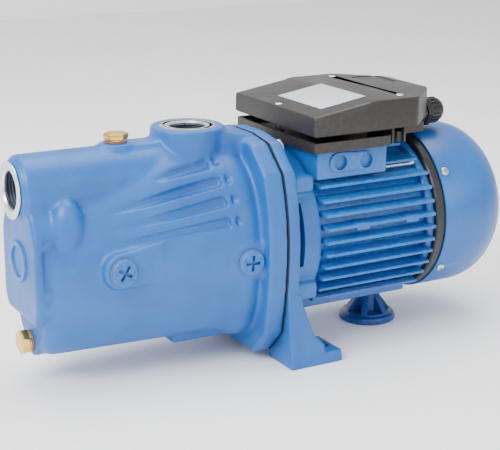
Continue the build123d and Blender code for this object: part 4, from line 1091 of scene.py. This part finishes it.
# ---- rear foot ----
def rear_foot():
    """Moulded foot: round base with a rounded rim, cone and pockets between its ribs."""
    bm = bmesh.new()
    place = facing(UP, (FOOT_X, 0, 0))
    rim = [(0.0, 0.0), (0.0, FOOT_R - 1.0), (0.8, FOOT_R)] + [(3.8, FOOT_R)]
    rim += [(3.8 + 3.2 * sin(a), FOOT_R - 3.2 * (1 - cos(a))) for a in (0.5, 1.0, 1.5)]
    rim += [(7.0, 21.5), (FOOT_TOP - 1.5, 8.2), (FOOT_TOP, 7.4), (FOOT_TOP, 0.0)]
    turned(bm, rim, place, 96, closed=False)
    made = mesh_object("rear_foot_moulding", bm)

    def draw_pockets(cutter):
        for step in range(6):
            turn = radians(60 * step + 18)
            out = Vector((cos(turn), sin(turn), 0))
            side = Vector((-sin(turn), cos(turn), 0))
            base = Vector((FOOT_X, 0, 8.2))
            outline = [base + out * 9.5 - side * 2.6, base + out * 30 - side * 13.5, base + out * 30 + side * 13.5, base + out * 9.5 + side * 2.6]
            prism(cutter, outline, (0, 0, 15.5))
        bar(cutter, (FOOT_X, 0, -2), (FOOT_X, 0, 5), 5.0)
        bar(cutter, (FOOT_X, 0, -2), (FOOT_X, 0, 40), 2.6)

    carve(made, draw_pockets)
    bm = bmesh.new()
    bm.from_mesh(made.data)
    round_edges(bm, sharp_edges(bm.verts, 0.7), 0.5, 2)
    bm.to_mesh(made.data)
    bm.free()
    settle(made, "pump", "foot_plastic", "rear_foot", finish=FINISH["foot_blue"], crease=35.0)


# ---- terminal box ----
def lid_plan(shrink=0.0):
    """Corners of the lid seen from above."""
    half, rear = LID_HALF - shrink, LID_REAR - shrink
    front = LID_FRONT + shrink
    right = [(front, half), (129.0, half), (rear, 31.0 - shrink)]
    return right + [(x, -y) for x, y in reversed(right)]


def base_plan(shrink=0.0):
    """Corners of the box base seen from above."""
    half, rear = LID_HALF - 1.5 - shrink, LID_REAR - 1.5 - shrink
    front, side = LID_FRONT + 1.5 + shrink, 104.0 - shrink
    right = [(front, half), (side, half), (side, 35.0 - shrink), (rear, 31.0 - shrink)]
    return right + [(x, -y) for x, y in reversed(right)]


LID_SEATS = [Vector((33.5, 0, 205.0)), Vector((120, -52, 213.5)), Vector((120, 52, 213.5))]
GLAND_PLACE = Vector((LID_REAR - 1.5, GLAND_Y, GLAND_Z))


def lid_height(x):
    """Level of the lid's top at x: a slope that eases into the flat rear."""
    front = 205.2
    slope = (LID_TOP - front) / 62.5
    rise = front + slope * (x - 22.5)
    return min(rise, LID_TOP) if x < 80 or x > 90 else LID_TOP - 0.8 * ((90 - x) / 10) ** 2


def draw_lid(bm):
    """Lid shell: walls down to the joint, sloping top and rounded edges."""
    outline = [Vector((x, y, LID_LOW + 0.1)) for x, y in lid_plan()]
    face = bm.faces.new([bm.verts.new(p) for p in outline])
    made = bmesh.ops.extrude_face_region(bm, geom=[face])["geom"]
    top = [g for g in made if isinstance(g, bmesh.types.BMVert)]
    bmesh.ops.translate(bm, vec=(0, 0, 15), verts=top)
    for x in (80.0, 82.5, 85.0, 87.5, 90.0):
        geom = list(bm.verts) + list(bm.edges) + list(bm.faces)
        bmesh.ops.bisect_plane(bm, geom=geom, plane_co=(x, 0, 0), plane_no=(1, 0, 0), dist=1e-4)
    for vert in bm.verts:
        if vert.co.z > LID_LOW + 10:
            vert.co.z = lid_height(vert.co.x)
    bmesh.ops.recalc_face_normals(bm, faces=bm.faces)
    upright = [e for e in bm.edges if abs(e.verts[0].co.z - e.verts[1].co.z) > 8]
    round_edges(bm, [e for e in upright if len(e.link_faces) == 2 and e.calc_face_angle(0) > 0.3], 4.0, 5)
    ridge = [e for e in bm.edges if min(v.co.z for v in e.verts) > LID_LOW + 10 and e.calc_face_angle(0) > 0.7]
    round_edges(bm, ridge, 1.6, 3)


def draw_lid_hollow(bm):
    """Space inside the lid, following its sloping top."""
    outline = [Vector((x, y, LID_LOW - 3)) for x, y in lid_plan(2.6)]
    verts = prism(bm, outline, (0, 0, 20))
    for vert in verts:
        if vert.co.z > LID_LOW:
            vert.co.z = lid_height(vert.co.x) - 2.6
    bmesh.ops.recalc_face_normals(bm, faces=bm.faces)


def draw_lid_wells(bm):
    """Sunk seats of the lid screws, the opening for the gland and a shallow field at the rear."""
    for seat in LID_SEATS:
        bar(bm, seat, seat + UP * 6, 4.2, segments=48)
        bar(bm, seat - UP * 20, seat + UP * 6, 1.9, segments=24)
    block(bm, (LID_REAR - 12, LID_REAR + 5), (GLAND_Y - 14.5, GLAND_Y + 14.5), (LID_LOW - 5, GLAND_Z + 14.5), 1.0)
    block(bm, (132, 157), (4, 40), (LID_TOP - 0.5, LID_TOP + 3))


def terminal_box_lid():
    """Moulded lid of the terminal box."""
    bm = bmesh.new()
    draw_lid(bm)
    made = mesh_object("terminal_box_cover", bm)
    carve(made, draw_lid_hollow)
    bm = bmesh.new()
    for seat in LID_SEATS:
        bar(bm, (seat.x, seat.y, LID_LOW + 0.2), (seat.x, seat.y, seat.z + 0.3), 4.9, segments=40)
    bm.from_mesh(made.data)
    bm.to_mesh(made.data)
    bm.free()
    carve(made, draw_lid_wells)
    settle(made, "pump", "box_plastic", "terminal_box_lid", finish=FINISH["box_plastic"], crease=28.0)


def terminal_box_base():
    """Moulded lower half of the box: tray, lip under the lid, side ribs and gland boss."""
    bm = bmesh.new()
    verts = prism(bm, [Vector((x, y, BOX_FLOOR)) for x, y in base_plan()], (0, 0, 8.5))
    upright = [e for e in sharp_edges(verts, 0.4) if abs(e.verts[0].co.z - e.verts[1].co.z) > 5]
    round_edges(bm, upright, 3.0, 4)
    made = mesh_object("terminal_box_tray", bm)

    def draw_hollow(cutter):
        prism(cutter, [Vector((x, y, BOX_FLOOR + 2.5)) for x, y in base_plan(2.5)], (0, 0, 20))

    carve(made, draw_hollow)
    bm = bmesh.new()
    bm.from_mesh(made.data)
    for side in (-1, 1):
        for x in (109, 121):
            block(bm, (x - 1.1, x + 1.1), sorted((side * 30, side * 60)), (BOX_FLOOR, LID_LOW + 4), 0.3)
    reach = 14.0
    block(
        bm, (LID_REAR - 9.5, LID_REAR - 1.5), (GLAND_Y - reach, GLAND_Y + reach), (GLAND_Z - reach, GLAND_Z + reach), 1.2, 3,
    )
    for seat in LID_SEATS:
        bar(bm, (seat.x, seat.y, BOX_FLOOR), (seat.x, seat.y, BOX_FLOOR + 8.4), 4.5, segments=32)
    bm.to_mesh(made.data)
    bm.free()
    settle(made, "pump", "box_plastic", "terminal_box_base", finish=FINISH["box_plastic"], crease=28.0)


def box_seal():
    """Dark cord seal that shows as a thin line between base and lid."""
    bm = bmesh.new()
    prism(bm, [Vector((x, y, LID_LOW - 1.0)) for x, y in base_plan(0.6)], (0, 0, 1.05))
    made = mesh_object("box_cord_seal", bm)

    def draw_middle(cutter):
        prism(cutter, [Vector((x, y, LID_LOW - 3)) for x, y in base_plan(2.4)], (0, 0, 6))

    carve(made, draw_middle)
    settle(made, "pump", "rubber", "box_gasket", finish=FINISH["rubber"])


def lid_screws():
    """Three slotted screws in their wells."""
    bm = bmesh.new()
    for seat in LID_SEATS:
        cross_screw(bm, seat + UP * 0.05, UP, 3.7, 2.4, 1.8, 19.0)
    made = mesh_object("lid_screw_set", bm)

    def draw_recesses(cutter):
        for seat in LID_SEATS:
            cross_recess(cutter, seat, UP, 2.4, 2.2, 20)

    carve(made, draw_recesses)
    settle(made, "pump", "zinc", "lid_screws", finish=FINISH["zinc"], crease=30.0)


def nameplate():
    """Bright plate on the sloping lid, with plain bars where a maker would print."""
    low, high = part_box("nameplate")
    x0, x1 = low.x / MM - JOINT_X, high.x / MM - JOINT_X
    y0, y1 = low.y / MM, high.y / MM
    bm = bmesh.new()
    block(bm, (x0 + 0.1, x1 - 0.1), (y0, y1), (0.05, 0.55), 0.2, 2)
    ink = []
    rows = [(0.10, 0.26, 0.5, 3.6), (0.34, 0.9, 0.06, 0.8), (0.44, 0.9, 0.06, 0.8), (0.54, 0.9, 0.06, 0.8), (0.64, 0.9, 0.06, 0.8), (0.76, 0.9, 0.06, 0.8), (0.86, 0.6, 0.06, 0.8)]
    for row, (down, reach, left, tall) in enumerate(rows):
        x = x0 + (x1 - x0) * down
        start = y0 + (y1 - y0) * left
        stop = y0 + (y1 - y0) * (left + (reach - left) * (0.92 if row % 2 else 1.0)) if row else y0 + (y1 - y0) * 0.92
        cursor, step = start, 0
        while cursor < stop - 2:
            width = (3.2, 5.0, 2.2, 6.4, 4.0)[(step + row) % 5] if row else 4.6
            faces_before = len(bm.faces)
            block(bm, (x - 0.5 * tall, x + 0.5 * tall), (cursor, min(cursor + width, stop)), (0.5, 0.58))
            bm.faces.ensure_lookup_table()
            ink += [bm.faces[i] for i in range(faces_before, len(bm.faces))]
            cursor += width + (1.2 if row else 0.9)
            step += 1
    for face in ink:
        face.material_index = 1
    slope = (LID_TOP - 205.2) / 62.5
    for vert in bm.verts:
        vert.co.z += 205.2 + slope * (vert.co.x - 22.5)
    settle(mesh_object("rating_plate", bm), "pump", "label", "nameplate", finish=[FINISH["label"], FINISH["ink"]], crease=30.0)


# ---- cable gland ----
def gland():
    """Cable gland: threaded body with a hexagon, gripping sleeve and ribbed dome nut."""
    rear = GLAND_PLACE
    place = facing(AHEAD, rear)
    bm = bmesh.new()
    turned(bm, [(-8, 7.1), (-8, 9.9), (6.2, 9.9), (6.2, 8.7), (14, 8.7), (14, 7.1)], place, 64)
    hexagon(bm, rear + AHEAD * 0.3, rear + AHEAD * 6.0, 23.8, 0.8, 30)
    settle(mesh_object("gland_base", bm), "pump", "gland_plastic", "gland_body", finish=FINISH["black_plastic"])
    bm = bmesh.new()
    dome = [(7, 8.9), (7, 10.6), (22.5, 10.6), (24.6, 10.0), (26.4, 8.8), (26.9, 7.4), (15.2, 7.1), (15.0, 8.9)]
    turned(bm, dome, place, 72)
    hexagon(bm, rear + AHEAD * 7.3, rear + AHEAD * 12.5, 23.6, 0.9, 30)
    for step in range(18):
        verts = block(bm, (12.0, 22.4), (-0.9, 0.9), (9.8, 11.7))
        turn = Matrix.Translation(rear) @ Matrix.Rotation(radians(20 * step), 4, "X")
        bmesh.ops.transform(bm, matrix=turn, verts=verts)
        round_edges(bm, sharp_edges(verts), 0.5)
    settle(mesh_object("gland_dome_nut", bm), "pump", "gland_plastic", "gland_nut", finish=FINISH["black_plastic"])
    bm = bmesh.new()
    turned(bm, [(3, 5.1), (3, 6.9), (17.6, 6.9), (18.4, 6.2), (18.4, 5.4), (17.8, 5.1)], place, 48)
    settle(mesh_object("gland_sleeve", bm), "pump", "rubber", "gland_seal", finish=FINISH["rubber"])


# ---- pieces kept from the frame ----
def finish_inner_pieces():
    """Gives every frame piece that still shows its finish, and softens its edges."""
    slots = {}
    for part in frame["record"].get("subparts", []):
        slots[part.get("node")] = part.get("material_slot") or part.get("slot")
    for node, made in frame["nodes"].items():
        if made.hide_render:
            continue
        made.data.materials.clear()
        made.data.materials.append(FINISH[SLOT_FINISH[slots[node]]])
        weld = made.modifiers.new("weld", "WELD")
        weld.merge_threshold = 0.000005
        bevel = made.modifiers.new("edges", "BEVEL")
        bevel.width = 0.0002
        bevel.segments = 1
        bevel.limit_method = "ANGLE"
        bevel.angle_limit = radians(40)
        bevel.harden_normals = True
        bevel.use_clamp_overlap = True


# ---- stage ----
def area_lamp(name, place, target, size, power):
    """Soft rectangular lamp aimed at a point."""
    lamp = bpy.data.lights.new(name, "AREA")
    lamp.shape = "RECTANGLE"
    lamp.size, lamp.size_y = size
    lamp.energy = power
    made = bpy.data.objects.new(name, lamp)
    aim = Vector(target) - Vector(place)
    made.matrix_world = Matrix.Translation(place) @ aim.to_track_quat("-Z", "Y").to_matrix().to_4x4()
    bpy.context.scene.collection.objects.link(made)


def stage():
    """Pale floor, soft studio light and the camera."""
    bm = bmesh.new()
    profile = [(-3.0, -6.0, 0.0), (-3.0, 2.2, 0.0)]
    verts = [bm.verts.new(p) for p in profile]
    edge = bm.edges.new(verts)
    made = bmesh.ops.extrude_edge_only(bm, edges=[edge])["geom"]
    bmesh.ops.translate(bm, vec=(9.0, 0, 0), verts=[g for g in made if isinstance(g, bmesh.types.BMVert)])
    back = [e for e in bm.edges if all(abs(v.co.y - 2.2) < 1e-6 for v in e.verts)]
    made = bmesh.ops.extrude_edge_only(bm, edges=back)["geom"]
    bmesh.ops.translate(bm, vec=(0, 0.9, 3.4), verts=[g for g in made if isinstance(g, bmesh.types.BMVert)])
    bmesh.ops.recalc_face_normals(bm, faces=bm.faces)
    floor = mesh_object("studio_floor", bm)
    material, tree, shader = bare_material("studio_paper")
    shade = stretch(tree, noise(tree, 3.0, 2.0, 0.5, 0.0, object_place(tree)), 0.3, 0.7, 0.95, 0.98)
    joined = tree.nodes.new("ShaderNodeCombineColor")
    for index in range(3):
        tree.links.new(shade, joined.inputs[index])
    tree.links.new(joined.outputs[0], shader.inputs["Base Color"])
    shader.inputs["Roughness"].default_value = 0.9
    shader.inputs["Specular IOR Level"].default_value = 0.1
    floor.data.materials.append(material)
    world = bpy.data.worlds.new("studio")
    bpy.context.scene.world = world
    world.use_nodes = True
    sky = world.node_tree.nodes["Background"]
    sky.inputs["Color"].default_value = (1.0, 1.0, 1.0, 1.0)
    sky.inputs["Strength"].default_value = 1.0
    middle_point = (-0.02, 0.0, 0.11)
    area_lamp("key", (-1.3, -0.5, 1.2), middle_point, (1.0, 0.8), 34)
    area_lamp("fill", (0.4, -1.7, 0.8), middle_point, (1.4, 1.0), 8)
    area_lamp("top", (0.1, 0.3, 1.6), middle_point, (1.4, 1.2), 30)
    camera = bpy.data.cameras.new("camera")
    camera.sensor_width = 36.0
    camera.sensor_fit = "HORIZONTAL"
    camera.lens = 95.29
    placed = bpy.data.objects.new("camera", camera)
    right = Vector((0.86898, -0.49481, 0.00588))
    up = Vector((0.13108, 0.24164, 0.96147))
    turn = Matrix((right, up, right.cross(up))).transposed().to_4x4()
    placed.matrix_world = Matrix.Translation((-0.573379, -0.940364, 0.413648)) @ turn
    bpy.context.scene.collection.objects.link(placed)
    bpy.context.scene.camera = placed


def main():
    """Builds every piece, then the stage."""
    pump_body()
    ports()
    plug("priming_plug_brass", "priming_plug", "priming_screw", (PRIMING_X, 0, PRIMING_Z + 1.5), UP, 8.2, 6.0, 10)
    plug("drain_plug_brass", "drain_plug", "drain_screw", (DRAIN_FACE - 1.5, 0, DRAIN_Z), -AHEAD, 6.4, 8.0, 0)
    washers()
    core_plug("front_core_plug_painted", "core_plug_front", FRONT_CORE, 32)
    core_plug("rear_core_plug_painted", "core_plug_rear", REAR_CORE, 4)
    body_gasket()
    bracket()
    body_screws()
    motor_frame()
    rear_shield()
    fan_cover()
    fan_cover_screws()
    fan()
    rear_foot()
    terminal_box_base()
    box_seal()
    terminal_box_lid()
    lid_screws()
    nameplate()
    gland()
    finish_inner_pieces()
    stage()


if __name__ == "__main__":
    main()
